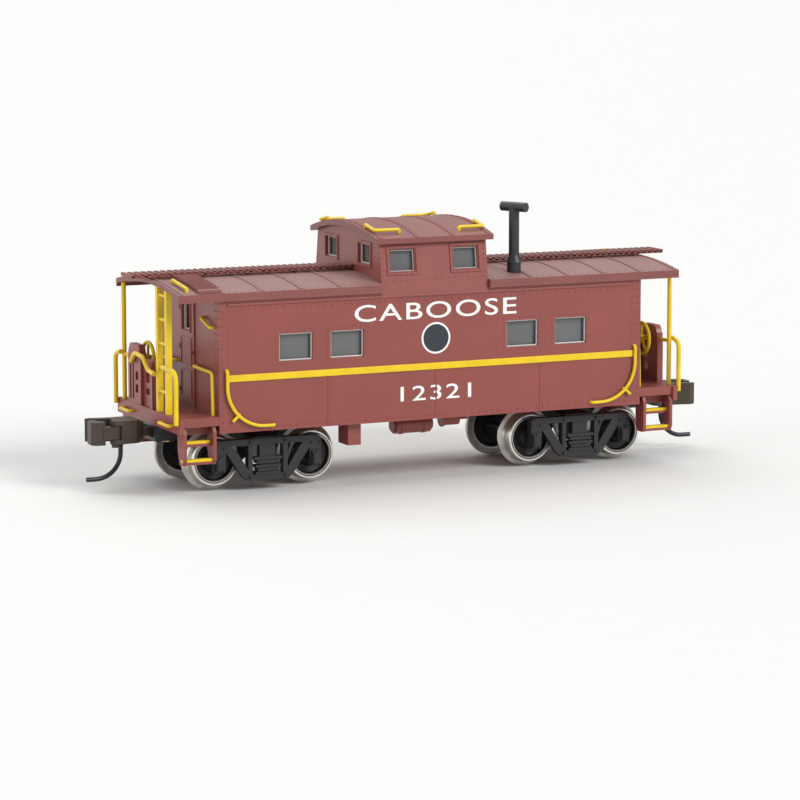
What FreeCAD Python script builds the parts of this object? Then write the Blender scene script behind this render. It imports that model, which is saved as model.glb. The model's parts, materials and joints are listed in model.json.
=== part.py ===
"""Model caboose, N scale: a four-window steel caboose with a cupola.

Frame: X runs along the car, Y across it and +Z up. The origin is on the car's centre,
level with the lowest points of the wheel flanges. End "a" is at -X and end "b" at +X.
The two ends are alike, turned half a turn about Z. Lengths are in millimetres.
"""
import FreeCAD
import Part
import math
import os
import Sketcher

V = FreeCAD.Vector
doc = FreeCAD.newDocument("caboose")
sheet = doc.addObject("Spreadsheet::Sheet", "Sizes")

# alias, value in mm (or degrees), what it is
DRIVING_SIZES = [
    ("body_length", 50.0, "car body over its end walls"),
    ("body_width", 17.9, "car body over its side walls"),
    ("body_clearance", 0.2, "lower edge of the side walls above the wheel flanges"),
    ("body_height", 13.9, "side wall from its lower edge to the eaves"),
    ("wall", 0.6, "thickness of the side and end walls"),
    ("roof_overhang", 4.6, "roof beyond each end wall"),
    ("roof_lip", 0.35, "thickness of the eaves outside the side wall"),
    ("eave_depth", 0.85, "height of the eaves"),
    ("roof_rise", 0.9, "crown of the roof above the top of the eaves"),
    ("roof_thick", 0.5, "thickness of the roof skin"),
    ("cupola_length", 12.6, "cupola over its end walls"),
    ("cupola_lean", 0.85, "how far each cupola side leans in at its top"),
    ("cupola_height", 5.3, "cupola side from the bottom of the eaves to its own eaves"),
    ("cupola_roof_rise", 1.25, "crown of the cupola roof above its edge"),
    ("cupola_roof_edge", 0.6, "edge thickness of the cupola roof"),
    ("cupola_overhang", 0.65, "cupola roof beyond the cupola walls"),
    ("window_height", 2.9, "side window opening"),
    ("window_sill", 7.25, "side window opening above the body's lower edge"),
    ("inner_window_at", 10.4, "inner side windows from the car's middle"),
    ("outer_window_at", 16.3, "outer side windows from the car's middle"),
    ("window_width", 3.85, "side window opening"),
    ("board_width", 3.2, "running board"),
    ("board_thick", 0.4, "running board and corner boards"),
    ("board_overhang", 2.2, "running board beyond the roof's ends"),
    ("platform_length", 4.6, "end platform beyond the end wall"),
    ("platform_rise", 1.8, "upper face of the end platforms above the lower edge of the side walls"),
    ("platform_thick", 0.5, "floor of the end platforms"),
    ("sill_depth", 1.6, "height of the end sills"),
    ("floor_thick", 0.9, "underframe floor plate"),
    ("rail_rod", 0.5, "diameter of the platform rails and posts"),
    ("grab_wire", 0.36, "diameter of the grab irons"),
    ("truck_inset", 6.3, "truck pivots from the end walls"),
    ("wheelbase", 11.0, "distance between the axles of a truck"),
    ("tread_radius", 2.65, "wheel tread"),
    ("flange_depth", 0.6, "flange beyond the tread"),
    ("wheel_back", 3.72, "back of each wheel from the car's centre line"),
    ("wheel_width", 1.88, "wheel from its back to its outer face"),
    ("axle_radius", 0.5, "axle"),
    ("frame_inside", 5.95, "inner face of the truck side frames from the centre line"),
    ("frame_thick", 0.95, "truck side frames"),
    ("pivot_radius", 0.6, "shank of the truck screws"),
    ("coupler_drop", 2.4, "middle of the coupler shank below the platform's upper face"),
    ("coupler_overhang", 6.8, "face of the coupler beyond the end platform"),
    ("running_gap", 0.06, "radial clearance of pivots and pins"),
    ("seat_gap", 0.02, "clearance where fixed pieces slip into each other"),
]
for row, (alias, number, meaning) in enumerate(DRIVING_SIZES, start=1):
    sheet.set(f"A{row}", str(number))
    sheet.setAlias(f"A{row}", alias)
    sheet.set(f"B{row}", meaning)
doc.recompute()


class Size:
    """A length that knows both its number and the spreadsheet expression behind it."""

    def __init__(self, text, number):
        self.text = text
        self.number = float(number)

    def __float__(self):
        return self.number

    def __add__(self, other):
        other = as_size(other)
        return Size(f"({self.text} + {other.text})", self.number + other.number)

    def __sub__(self, other):
        other = as_size(other)
        return Size(f"({self.text} - {other.text})", self.number - other.number)

    def __mul__(self, other):
        other = as_size(other)
        return Size(f"({self.text} * {other.text})", self.number * other.number)

    def __truediv__(self, other):
        other = as_size(other)
        return Size(f"({self.text} / {other.text})", self.number / other.number)

    def __radd__(self, other):
        return as_size(other) + self

    def __rsub__(self, other):
        return as_size(other) - self

    def __rmul__(self, other):
        return as_size(other) * self

    def __neg__(self):
        return Size(f"(-1 * {self.text})", -self.number)


def as_size(value):
    """Wrap a plain number, so that it can stand in an expression."""
    if isinstance(value, Size):
        return value
    return Size(f"({value:.6g})", value)


class Sizes:
    """The spreadsheet's values by name."""


size = Sizes()
for alias, number, meaning in DRIVING_SIZES:
    setattr(size, alias, Size(f"Sizes.{alias}", number))

SUBPARTS = []


def bind(thing, path, value):
    """Bind one property of a document object to the spreadsheet."""
    thing.setExpression(path, as_size(value).text)


def subpart(thing, label):
    """Note a finished sub-part under the name of its file."""
    thing.Label = label
    SUBPARTS.append(thing)
    return thing


# ---------------------------------------------------------------- building blocks

def box(x_range, y_range, z_range):
    """A Part::Box between two values along each axis, every side bound to the sheet."""
    block = doc.addObject("Part::Box", "Block")
    for path, place, ends in (("Length", "x", x_range), ("Width", "y", y_range), ("Height", "z", z_range)):
        low, high = as_size(ends[0]), as_size(ends[1])
        bind(block, path, high - low)
        bind(block, f"Placement.Base.{place}", low)
    return block


AXIS_TURNS = {
    "x": FreeCAD.Rotation(V(0, 1, 0), 90),
    "y": FreeCAD.Rotation(V(1, 0, 0), -90),
    "z": FreeCAD.Rotation(),
}


def rod(radius, length, start, axis="z"):
    """A Part::Cylinder that runs along +axis from its start point."""
    cylinder = doc.addObject("Part::Cylinder", "Rod")
    cylinder.Placement = FreeCAD.Placement(V(), AXIS_TURNS[axis])
    bind(cylinder, "Radius", radius)
    bind(cylinder, "Height", length)
    for place, value in zip("xyz", start):
        bind(cylinder, f"Placement.Base.{place}", value)
    return cylinder


def cone(low_radius, high_radius, length, start, axis="z"):
    """A Part::Cone that runs along +axis from its start point."""
    taper = doc.addObject("Part::Cone", "Taper")
    taper.Placement = FreeCAD.Placement(V(), AXIS_TURNS[axis])
    bind(taper, "Radius1", low_radius)
    bind(taper, "Radius2", high_radius)
    bind(taper, "Height", length)
    for place, value in zip("xyz", start):
        bind(taper, f"Placement.Base.{place}", value)
    return taper


def fuse(pieces):
    """One solid from several that overlap."""
    joined = doc.addObject("Part::MultiFuse", "Joined")
    joined.Shapes = pieces
    joined.Refine = True
    return joined


def cut(base, tools):
    """The base with all tools taken away."""
    tool = tools[0]
    if len(tools) > 1:
        tool = doc.addObject("Part::MultiFuse", "Tools")
        tool.Shapes = tools
    rest = doc.addObject("Part::Cut", "Rest")
    rest.Base = base
    rest.Tool = tool
    rest.Refine = True
    return rest


def group(pieces):
    """Separate solids that share one node."""
    bundle = doc.addObject("Part::Compound", "Group")
    bundle.Links = pieces
    return bundle


def turned(source, name="Turned"):
    """The same shape after half a turn about Z, as a solid of its own."""
    doc.recompute()
    other = doc.addObject("Part::Feature", name)
    shape = source.Shape.copy()
    shape.rotate(V(), V(0, 0, 1), 180)
    other.Shape = shape
    return other


def mirrored(source, normal):
    """The same shape on the other side of the car, as a solid of its own."""
    other = doc.addObject("Part::Mirroring", "Mirrored")
    other.Source = source
    other.Base = V()
    other.Normal = normal
    return other


def solid(shape, name="Solid"):
    """A Part::Feature around a shape made with Part's own functions."""
    thing = doc.addObject("Part::Feature", name)
    thing.Shape = shape
    return thing


# ---------------------------------------------------------------- bodies and sketches

def origin_plane(body, plane):
    for feature in body.Origin.OriginFeatures:
        if feature.Role == f"{plane}_Plane":
            return feature
    raise RuntimeError(f"{body.Label} has no {plane} plane")


def sketch_on(body, plane, offset=0.0):
    """An empty sketch on one of the body's own planes, moved along the plane's normal."""
    sketch = body.newObject("Sketcher::SketchObject", "Outline")
    sketch.AttachmentSupport = [(origin_plane(body, plane), "")]
    sketch.MapMode = "FlatFace"
    bind(sketch, "AttachmentOffset.Base.z", offset)
    return sketch


def pin_point(sketch, element, end, across, up):
    """Hold one point of a sketch at a place bound to the sheet."""
    for kind, value, axis_line in (("DistanceX", as_size(across), -2), ("DistanceY", as_size(up), -1)):
        if abs(float(value)) < 1e-9:
            sketch.addConstraint(Sketcher.Constraint("PointOnObject", element, end, axis_line))
            continue
        if float(value) > 0:
            index = sketch.addConstraint(Sketcher.Constraint(kind, -1, 1, element, end, float(value)))
        else:
            index = sketch.addConstraint(Sketcher.Constraint(kind, element, end, -1, 1, -float(value)))
            value = -value
        bind(sketch, f"Constraints[{index}]", value)


def outline(sketch, corners, arcs=None):
    """A closed outline through the corners; arcs maps a side's number to its rise."""
    arcs = arcs or {}
    count = len(corners)
    first = sketch.GeometryCount
    points = [V(float(across), float(up), 0) for across, up in corners]
    for side in range(count):
        start, stop = points[side], points[(side + 1) % count]
        if side in arcs:
            along = (stop - start).normalize()
            middle = (start + stop) * 0.5 + V(along.y, -along.x, 0) * float(arcs[side])
            sketch.addGeometry(Part.Arc(start, middle, stop))
        else:
            sketch.addGeometry(Part.LineSegment(start, stop))
    for side, (across, up) in enumerate(corners):
        element = first + side
        if side in arcs:
            continue
        pin_point(sketch, element, 1, across, up)
        following = (side + 1) % count
        if following in arcs:
            pin_point(sketch, element, 2, *corners[following])
    for side in range(count):
        element, following = first + side, first + (side + 1) % count
        arc_end = end_of(sketch, element, points[(side + 1) % count])
        arc_start = end_of(sketch, following, points[(side + 1) % count])
        sketch.addConstraint(Sketcher.Constraint("Coincident", element, arc_end, following, arc_start))
    for side, rise in arcs.items():
        left, right = as_size(corners[side][0]), as_size(corners[(side + 1) % count][0])
        half = (right - left) / 2
        index = sketch.addConstraint(Sketcher.Constraint("Radius", first + side,
                                                         arc_radius(half, rise).number))
        bind(sketch, f"Constraints[{index}]", arc_radius(half, rise))
    return sketch


def arc_radius(half_chord, rise):
    """Radius of the arc over a chord, from half the chord and the arc's rise."""
    height = as_size(abs(float(rise))) if not isinstance(rise, Size) else rise
    if float(height) < 0:
        height = -height
    return (half_chord * half_chord + height * height) / (2 * height)


def end_of(sketch, element, point):
    """1 or 2, whichever end of the element lies at the point."""
    start = sketch.getPoint(element, 1)
    stop = sketch.getPoint(element, 2)
    return 1 if (start - point).Length < (stop - point).Length else 2


def new_body(label):
    body = doc.addObject("PartDesign::Body", "Body")
    body.Label = label
    return body


def pad(body, sketch, length, midplane=True):
    feature = body.newObject("PartDesign::Pad", "Pad")
    feature.Profile = sketch
    bind(feature, "Length", length)
    feature.Midplane = midplane
    sketch.Visibility = False
    doc.recompute()
    return feature


def pocket(body, sketch, length, midplane=True):
    """Cut a pocket both ways from its sketch, and make sure that it does cut."""
    doc.recompute()
    before = body.Shape.Volume
    feature = body.newObject("PartDesign::Pocket", "Pocket")
    feature.Profile = sketch
    bind(feature, "Length", length)
    feature.Midplane = midplane
    doc.recompute()
    if body.Shape.Volume >= before:
        raise RuntimeError(f"a pocket of {body.Label} cuts nothing")
    return feature


def revolve(body, sketch, axis):
    """Turn the outline a full turn about one of the sketch's axes: "H" or "V"."""
    feature = body.newObject("PartDesign::Revolution", "Turning")
    feature.Profile = sketch
    feature.ReferenceAxis = (sketch, [f"{axis}_Axis"])
    feature.Angle = 360
    doc.recompute()
    return feature


def rectangle(low_across, high_across, low_up, high_up):
    """The four corners of a rectangle, anticlockwise."""
    return [(low_across, low_up), (high_across, low_up), (high_across, high_up), (low_across, high_up)]


# ---------------------------------------------------------------- bent rods

def bent_rod(points, radius, bend, share=0.45):
    """A round rod along straight runs with a bend at each point between them, of one radius or one each.

    A bend takes no more than a share of each run beside it.
    """
    points = [V(*[float(value) for value in point]) for point in points]
    bends = list(bend) if isinstance(bend, tuple) else [float(bend)] * (len(points) - 2)
    edges = []
    start = points[0]
    for before, corner, after, bend in zip(points, points[1:], points[2:], bends):
        into = (corner - before).normalize()
        out = (after - corner).normalize()
        turn = into.getAngle(out)
        if turn < 0.01:
            continue
        reach = min(bend * math.tan(turn / 2), share * (corner - before).Length,
                    share * (after - corner).Length)
        entry, leave = corner - into * reach, corner + out * reach
        true_radius = reach / math.tan(turn / 2)
        inward = (out - into).normalize()
        centre = corner + inward * (true_radius / math.cos(turn / 2))
        middle = centre - inward * true_radius
        if (entry - start).Length > 1e-6:
            edges.append(Part.LineSegment(start, entry).toShape())
        edges.append(Part.Arc(entry, middle, leave).toShape())
        start = leave
    edges.append(Part.LineSegment(start, points[-1]).toShape())
    path = Part.Wire(edges)
    circle = Part.Wire([Part.Circle(points[0], points[1] - points[0], float(radius)).toShape()])
    return path.makePipeShell([circle], True, False)


# ---------------------------------------------------------------- places that several pieces share

half_length = size.body_length / 2
half_width = size.body_width / 2
axle_height = size.tread_radius + size.flange_depth
body_bottom = 2 * axle_height + size.body_clearance
platform_top = body_bottom + size.platform_rise
coupler_height = platform_top - size.coupler_drop
eave = body_bottom + size.body_height
wall_top = eave + size.eave_depth - size.roof_thick
roof_edge = eave + size.eave_depth
roof_crown = roof_edge + size.roof_rise
roof_half_width = half_width + size.roof_lip
roof_end = half_length + size.roof_overhang
cupola_half = size.cupola_length / 2
cupola_foot = eave - 0.35
cupola_top = eave + size.cupola_height
cupola_top_half = half_width - size.cupola_lean
cupola_eave_half = cupola_top_half + size.cupola_overhang
cupola_eave = cupola_top - size.cupola_roof_rise * (
    1 - (cupola_top_half * cupola_top_half) / (cupola_eave_half * cupola_eave_half))
notch_inside = half_width - size.wall - 0.35
platform_end = half_length + size.platform_length
platform_under = platform_top - size.platform_thick
sill_under = platform_top - size.sill_depth
floor_under = body_bottom + 0.2
floor_top = floor_under + size.floor_thick
truck_at = half_length - size.truck_inset
half_wheelbase = size.wheelbase / 2
post_at = platform_end - 0.4
rail_radius = size.rail_rod / 2
grab_radius = size.grab_wire / 2
window_low = body_bottom + size.window_sill
window_high = window_low + size.window_height
frame_outside = size.frame_inside + size.frame_thick
coupler_pivot = platform_end - 2.2
coupler_face = platform_end + size.coupler_overhang
PLAIN_HALF_WIDTH = 8.95


def spread(distance):
    """A distance from the centre line that grows and shrinks with the car's width."""
    return half_width * (distance / PLAIN_HALF_WIDTH)


jack_at = (10.5, -spread(6.6))


def roof_height(across):
    """Upper surface of the roof at a distance from the centre line."""
    across = as_size(across)
    share = (across * across) / (roof_half_width * roof_half_width)
    return roof_edge + size.roof_rise * (1 - share)


def roof_underside(across):
    return roof_height(across) - size.roof_thick


def cupola_roof_height(across):
    """Upper surface of the cupola roof at a distance from the centre line."""
    across = as_size(across)
    share = (across * across) / (cupola_eave_half * cupola_eave_half)
    return cupola_eave + size.cupola_roof_edge + size.cupola_roof_rise * (1 - share)


# ---------------------------------------------------------------- car body

def side_window_centres():
    return [-size.outer_window_at, -size.inner_window_at, size.inner_window_at, size.outer_window_at]


DOOR_HALF_WIDTH = 2.15
DOOR_PROUD = 0.15
DOOR_WINDOW = (1.05, platform_top + 8.2, platform_top + 11)  # half width, lower edge, upper edge


def body_shell():
    """Side and end walls in one moulding, open at the bottom and at the top."""
    body = new_body("body_shell")
    outer = sketch_on(body, "YZ")
    outline(outer, rectangle(-half_width, half_width, body_bottom, wall_top), {2: size.roof_rise})
    pad(body, outer, size.body_length)
    doors = sketch_on(body, "YZ")
    door_top = wall_top - 0.3
    outline(doors, rectangle(-DOOR_HALF_WIDTH, DOOR_HALF_WIDTH, platform_top + 0.05, door_top))
    pad(body, doors, size.body_length + 2 * DOOR_PROUD)
    inside = half_width - size.wall
    hollow = sketch_on(body, "YZ")
    outline(hollow, rectangle(-inside, inside, body_bottom - 1, roof_crown + 1))
    pocket(body, hollow, size.body_length - 2 * size.wall)
    windows = sketch_on(body, "XZ")
    for centre in side_window_centres():
        half = size.window_width / 2
        outline(windows, rectangle(centre - half, centre + half, window_low, window_high))
    pocket(body, windows, size.body_width + 1)
    half, low, high = DOOR_WINDOW
    door_windows = sketch_on(body, "YZ")
    outline(door_windows, rectangle(-half, half, low, high))
    pocket(body, door_windows, size.body_length + 1)
    notches = sketch_on(body, "XZ")
    reach = cupola_half + size.seat_gap
    outline(notches, rectangle(-reach, reach, cupola_foot - size.seat_gap, roof_crown + 1))
    pocket(body, notches, size.body_width + 1)
    return subpart(body, "body_shell")


def roof():
    """Arched roof with eaves that lap the side walls, notched for the cupola."""
    body = new_body("roof")
    inner = half_width + size.seat_gap
    seat = wall_top + size.seat_gap
    section = sketch_on(body, "YZ")
    corners = [(-roof_half_width, eave), (-inner, eave), (-inner, seat), (inner, seat), (inner, eave),
               (roof_half_width, eave), (roof_half_width, roof_edge), (-roof_half_width, roof_edge)]
    outline(section, corners, {2: -size.roof_rise, 6: size.roof_rise})
    pad(body, section, 2 * roof_end)
    openings = sketch_on(body, "XY", eave)
    reach = cupola_half + size.seat_gap
    for low, high in ((notch_inside, roof_half_width + 1), (-(roof_half_width + 1), -notch_inside)):
        outline(openings, rectangle(-reach, reach, low, high))
    hatch = cupola_half - size.wall - 0.4
    outline(openings, rectangle(-hatch, hatch, -(notch_inside - 1.2), notch_inside - 1.2))
    pocket(body, openings, 8)
    jack_hole = sketch_on(body, "XY", eave)
    hole = jack_hole.addGeometry(Part.Circle(V(jack_at[0], float(jack_at[1]), 0), V(0, 0, 1),
                                             JACK_TUBE + 0.02))
    pin_point(jack_hole, hole, 3, *jack_at)
    jack_hole.addConstraint(Sketcher.Constraint("Radius", hole, JACK_TUBE + 0.02))
    pocket(body, jack_hole, 8)
    return subpart(body, "roof")


CUPOLA_SIDE_WINDOW = (3.73, 2.9, eave + 2.15, eave + 4.45)  # centre, width, lower edge, upper edge
CUPOLA_END_WINDOW = (spread(4.35), 2.9, eave + 2.7, eave + 4.8)


def cupola_shell():
    """Lookout cupola: leaning side walls that run down into the eaves, and two end walls."""
    body = new_body("cupola_shell")
    walls = sketch_on(body, "YZ")
    corners = [(-half_width, cupola_foot), (half_width, cupola_foot),
               (cupola_top_half, cupola_top), (-cupola_top_half, cupola_top)]
    crown = size.cupola_roof_rise * (cupola_top_half * cupola_top_half) / (cupola_eave_half * cupola_eave_half)
    outline(walls, corners, {2: crown})
    pad(body, walls, size.cupola_length)
    hollow = sketch_on(body, "YZ")
    low_half, high_half = half_width - size.wall, cupola_top_half - size.wall
    outline(hollow, [(-low_half, cupola_foot - 0.1), (low_half, cupola_foot - 0.1),
                     (high_half, cupola_top + 2), (-high_half, cupola_top + 2)])
    pocket(body, hollow, size.cupola_length - 2 * size.wall)
    saddle = sketch_on(body, "YZ")
    seat = notch_inside + size.seat_gap
    seat_edge = roof_height(seat) + size.seat_gap
    seat_rise = size.roof_rise * (seat * seat) / (roof_half_width * roof_half_width)
    outline(saddle, rectangle(-seat, seat, cupola_foot - 1, seat_edge), {2: seat_rise})
    pocket(body, saddle, size.cupola_length + 1)
    side_windows = sketch_on(body, "XZ")
    centre, wide, low, high = CUPOLA_SIDE_WINDOW
    for side in (-1, 1):
        outline(side_windows, rectangle(side * centre - wide / 2, side * centre + wide / 2, low, high))
    pocket(body, side_windows, size.body_width + 1)
    end_windows = sketch_on(body, "YZ")
    centre, wide, low, high = CUPOLA_END_WINDOW
    for side in (-1, 1):
        outline(end_windows, rectangle(side * centre - wide / 2, side * centre + wide / 2, low, high))
    pocket(body, end_windows, size.cupola_length + 1)
    return subpart(body, "cupola_shell")


def cupola_roof():
    """Arched cap over the cupola."""
    body = new_body("cupola_roof")
    section = sketch_on(body, "YZ")
    low = cupola_eave + size.seat_gap
    corners = rectangle(-cupola_eave_half, cupola_eave_half, low, cupola_eave + size.cupola_roof_edge)
    outline(section, corners, {0: -size.cupola_roof_rise, 2: size.cupola_roof_rise})
    pad(body, section, size.cupola_length + 2 * size.cupola_overhang)
    return subpart(body, "cupola_roof")


def glazing():
    """Clear panes behind the openings: two strips in the sides, and panes in the cupola and doors."""
    thin = 0.3
    inside = half_width - size.wall - size.seat_gap
    reach = size.outer_window_at + size.window_width / 2 + 0.5
    strip = box((-reach, reach), (-inside, thin - inside), (window_low - 0.5, window_high + 0.5))
    subpart(group([strip, mirrored(strip, V(0, 1, 0))]), "side_glazing")
    pane = box((half_length - size.wall - thin - size.seat_gap, half_length - size.wall - size.seat_gap),
               (-DOOR_WINDOW[0] - 0.4, DOOR_WINDOW[0] + 0.4), (DOOR_WINDOW[1] - 0.4, DOOR_WINDOW[2] + 0.4))
    subpart(group([pane, mirrored(pane, V(1, 0, 0))]), "door_glazing")
    centre, wide, low, high = (float(value) for value in CUPOLA_SIDE_WINDOW)
    lean = math.degrees(math.atan2(float(size.cupola_lean), float(cupola_top - cupola_foot)))
    panes = []
    for side in (-1, 1):
        half = wide / 2 + 0.3
        sheet_of_glass = Part.makeBox(2 * half, thin, high - low + 0.6)
        sheet_of_glass.translate(V(side * centre - half, 0, low - 0.3))
        share = (low - 0.3 - float(cupola_foot)) / float(cupola_top - cupola_foot)
        face = float(half_width) - float(size.cupola_lean) * share - float(size.wall) - 0.03
        sheet_of_glass.rotate(V(0, 0, low - 0.3), V(1, 0, 0), -lean)
        sheet_of_glass.translate(V(0, -face, 0))
        panes.append(sheet_of_glass)
        panes.append(sheet_of_glass.mirror(V(), V(0, 1, 0)))
    centre, wide, low, high = (float(value) for value in CUPOLA_END_WINDOW)
    depth = float(cupola_half - size.wall - size.seat_gap)
    for end in (-1, 1):
        for side in (-1, 1):
            pane = Part.makeBox(thin, wide + 0.5, high - low + 0.4)
            pane.translate(V(end * depth - (thin if end > 0 else 0), side * centre - wide / 2 - 0.25,
                             low - 0.3))
            panes.append(pane)
    subpart(solid(Part.makeCompound(panes), "Panes"), "cupola_glazing")


def running_boards():
    """A board along the crown at each end of the cupola, on low saddles."""
    end = roof_end + size.board_overhang
    start = cupola_half + size.seat_gap
    half = size.board_width / 2
    low = roof_crown + 0.2
    pieces = [box((start, end), (-half, half), (low, low + size.board_thick))]
    saddles = 5
    for number in range(saddles):
        place = start + 1 + (roof_end - start - 2) * (number / (saddles - 1))
        pieces.append(box((place - 0.3, place + 0.3), (-(half - 0.2), half - 0.2), (roof_crown, low + 0.1)))
    board = subpart(fuse(pieces), "running_board_b")
    subpart(turned(board), "running_board_a")


def slab_on_roof(x_range, y_range, gap, thick):
    """A slab that follows the curve of the roof, between two places across the car."""
    low_x, high_x = (float(value) for value in x_range)
    low_y, high_y = (float(value) for value in y_range)

    def curve(lift):
        points = [V(low_x, y, float(roof_height(y)) + lift) for y in (low_y, (low_y + high_y) / 2, high_y)]
        return Part.Arc(*points)

    lower, upper = curve(gap), curve(gap + thick)
    edges = [lower.toShape(), Part.LineSegment(lower.EndPoint, upper.EndPoint).toShape(),
             upper.toShape(), Part.LineSegment(upper.StartPoint, lower.StartPoint).toShape()]
    face = Part.Face(Part.Wire(Part.__sortEdges__(edges)))
    return face.extrude(V(high_x - low_x, 0, 0))


def corner_boards():
    """Boards that lead from the running board down to the top of each ladder."""
    inner = size.board_width / 2 + 0.05
    outer = half_width + 0.2
    place = (half_length - 0.2, half_length + 2.3)
    board = slab_on_roof(place, (inner, outer), 0.02, float(size.board_thick) - 0.05)
    other = board.copy()
    other.rotate(V(), V(0, 0, 1), 180)
    subpart(solid(Part.makeCompound([board, other]), "Boards"), "corner_boards")


JACK_TUBE = 0.76
JACK_PIPE = 0.57
jack_top = eave + 8.35


def smoke_jack():
    """Stove pipe with a rain skirt and a cross head, one moulding plugged into the roof."""
    x, y = jack_at
    foot = roof_underside(y) - 0.4
    skirt = roof_crown + 0.6
    tube = rod(JACK_TUBE, skirt - foot, (x, y, foot))
    taper = cone(JACK_TUBE + 0.2, JACK_PIPE, 0.75, (x, y, skirt))
    pipe = rod(JACK_PIPE, jack_top - skirt, (x, y, skirt))
    reach = 1.6
    head = doc.addObject("Part::Cylinder", "Head")
    head.Radius = 0.52
    head.Height = 2 * reach
    along = V(0.45, -0.89, 0).normalize()
    head.Placement = FreeCAD.Placement(V(x, float(y), float(jack_top)) - along * reach,
                                       FreeCAD.Rotation(V(0, 0, 1), along))
    return subpart(fuse([tube, taper, pipe, head]), "smoke_jack")


# ---------------------------------------------------------------- underframe and what hangs on it

PIVOT_PAD = 2.2
SCREW_HEAD = 1.1


def underframe():
    """Floor plate with a centre sill, and a pad with a screw hole over each truck."""
    body = new_body("underframe")
    reach = half_length - size.wall - size.seat_gap
    half = half_width - size.wall - size.seat_gap
    plate = sketch_on(body, "XZ")
    outline(plate, rectangle(-reach, reach, floor_under, floor_top))
    pad(body, plate, 2 * half)
    centre_sill = sketch_on(body, "XZ")
    sill_end = truck_at - 4
    outline(centre_sill, rectangle(-sill_end, sill_end, floor_under - 1, floor_under + 0.1))
    pad(body, centre_sill, 2.6)
    pads = sketch_on(body, "XY", floor_under - 0.45)
    for side in (-1, 1):
        circle = pads.addGeometry(Part.Circle(V(side * float(truck_at), 0, 0), V(0, 0, 1), PIVOT_PAD))
        pin_point(pads, circle, 3, side * truck_at, 0)
        pads.addConstraint(Sketcher.Constraint("Radius", circle, PIVOT_PAD))
    pad(body, pads, 0.6, midplane=False)
    holes = sketch_on(body, "XY", floor_under)
    for side in (-1, 1):
        hole_radius = size.pivot_radius + size.seat_gap
        circle = holes.addGeometry(Part.Circle(V(side * float(truck_at), 0, 0), V(0, 0, 1),
                                               float(hole_radius)))
        pin_point(holes, circle, 3, side * truck_at, 0)
        index = holes.addConstraint(Sketcher.Constraint("Radius", circle, float(hole_radius)))
        bind(holes, f"Constraints[{index}]", hole_radius)
    pocket(body, holes, 6)
    return subpart(body, "underframe")


def ballast_weight():
    """Steel bar on the floor, between the truck screws."""
    reach = truck_at - 2
    bar = box((-reach, reach), (-5, 5), (floor_top, floor_top + 2.5))
    softened = doc.addObject("Part::Chamfer", "Softened")
    doc.recompute()
    softened.Base = bar
    softened.Edges = [(number, 0.3, 0.3) for number in range(1, 13)]
    return subpart(softened, "ballast_weight")


def truck_screws():
    """Shouldered screws that hold the trucks and let them swivel."""
    screws = []
    head_low = bolster_under - 0.65
    for side in (-1, 1):
        head = rod(SCREW_HEAD, 0.6, (side * truck_at, 0, head_low))
        shank = rod(size.pivot_radius, floor_top - head_low - 0.1, (side * truck_at, 0, head_low))
        slot = box((side * truck_at - 1.5, side * truck_at + 1.5), (-0.13, 0.13),
                   (head_low - 0.1, head_low + 0.2))
        screws.append(cut(fuse([head, shank]), [slot]))
    return subpart(group(screws), "truck_screws")


def underbody_gear():
    """Tool box, air reservoir, brake cylinder and brake rod under the floor."""
    top = floor_under
    chest_start = -(truck_at - 8.8)
    chest_inside, chest_outside = -(half_width - 3.55), -(half_width - 1.0)
    chest = box((chest_start, chest_start + 1.5), (chest_outside, chest_inside), (top - 2.6, top))
    lip = box((chest_start - 0.1, chest_start + 1.6), (chest_outside - 0.05, chest_inside + 0.05),
              (top - 0.35, top - 0.05))
    subpart(fuse([chest, lip]), "tool_box")
    gear_at = -(half_width - 3.95)
    reservoir_radius = 0.95
    height = top - reservoir_radius - 0.3
    tank = rod(reservoir_radius, 4.2, (-3.2, gear_at, height), "x")
    domes = rod(reservoir_radius - 0.25, 4.7, (-3.45, gear_at, height), "x")
    strap_places = (-2.6, 0.1)
    straps = [box((at, at + 0.35), (gear_at - 0.35, gear_at + 0.35), (height, top)) for at in strap_places]
    bands = [rod(reservoir_radius + 0.08, 0.35, (at, gear_at, height), "x") for at in strap_places]
    subpart(fuse([tank, domes] + straps + bands), "air_reservoir")
    cylinder_radius = 0.7
    height = top - cylinder_radius - 0.25
    barrel = rod(cylinder_radius, 1.9, (2.6, gear_at, height), "x")
    flange = rod(cylinder_radius + 0.15, 0.25, (2.45, gear_at, height), "x")
    push_rod = rod(0.18, 1.4, (4.3, gear_at, height), "x")
    hanger = box((3.1, 3.9), (gear_at - 0.3, gear_at + 0.3), (height, top))
    lever = box((5.3, 5.6), (gear_at - 0.2, -1.3), (height - 0.15, height + 0.15))
    subpart(fuse([barrel, flange, push_rod, hanger, lever]), "brake_cylinder")


# ---------------------------------------------------------------- end platforms

SILL_HALF_EXTRA = 0.3
SILL_THICK = 0.5
DRAFT_HALF = 1.9


def end_platforms():
    """Floor, end sill and draft sill of each platform."""
    floor = box((half_length + size.seat_gap, platform_end), (-half_width, half_width),
                (platform_under, platform_top))
    sill_half = half_width + SILL_HALF_EXTRA
    sill = box((platform_end - SILL_THICK, platform_end), (-sill_half, sill_half), (sill_under, platform_top))
    draft_low = coupler_box_top + size.seat_gap
    draft = box((half_length + size.seat_gap, platform_end - 0.1), (-DRAFT_HALF, DRAFT_HALF),
                (draft_low, platform_under + 0.1))
    side_sills = [box((half_length + size.seat_gap, platform_end), (side, side + 0.5),
                      (platform_under - 0.45, platform_top)) for side in (-half_width, half_width - 0.5)]
    platform = fuse([floor, sill, draft] + side_sills)
    screw_hole = rod(BOX_SCREW + 0.02, 3, (coupler_pivot, 0, draft_low - 1))
    platform = subpart(cut(platform, [screw_hole]), "end_platform_b")
    subpart(turned(platform), "end_platform_a")


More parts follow.
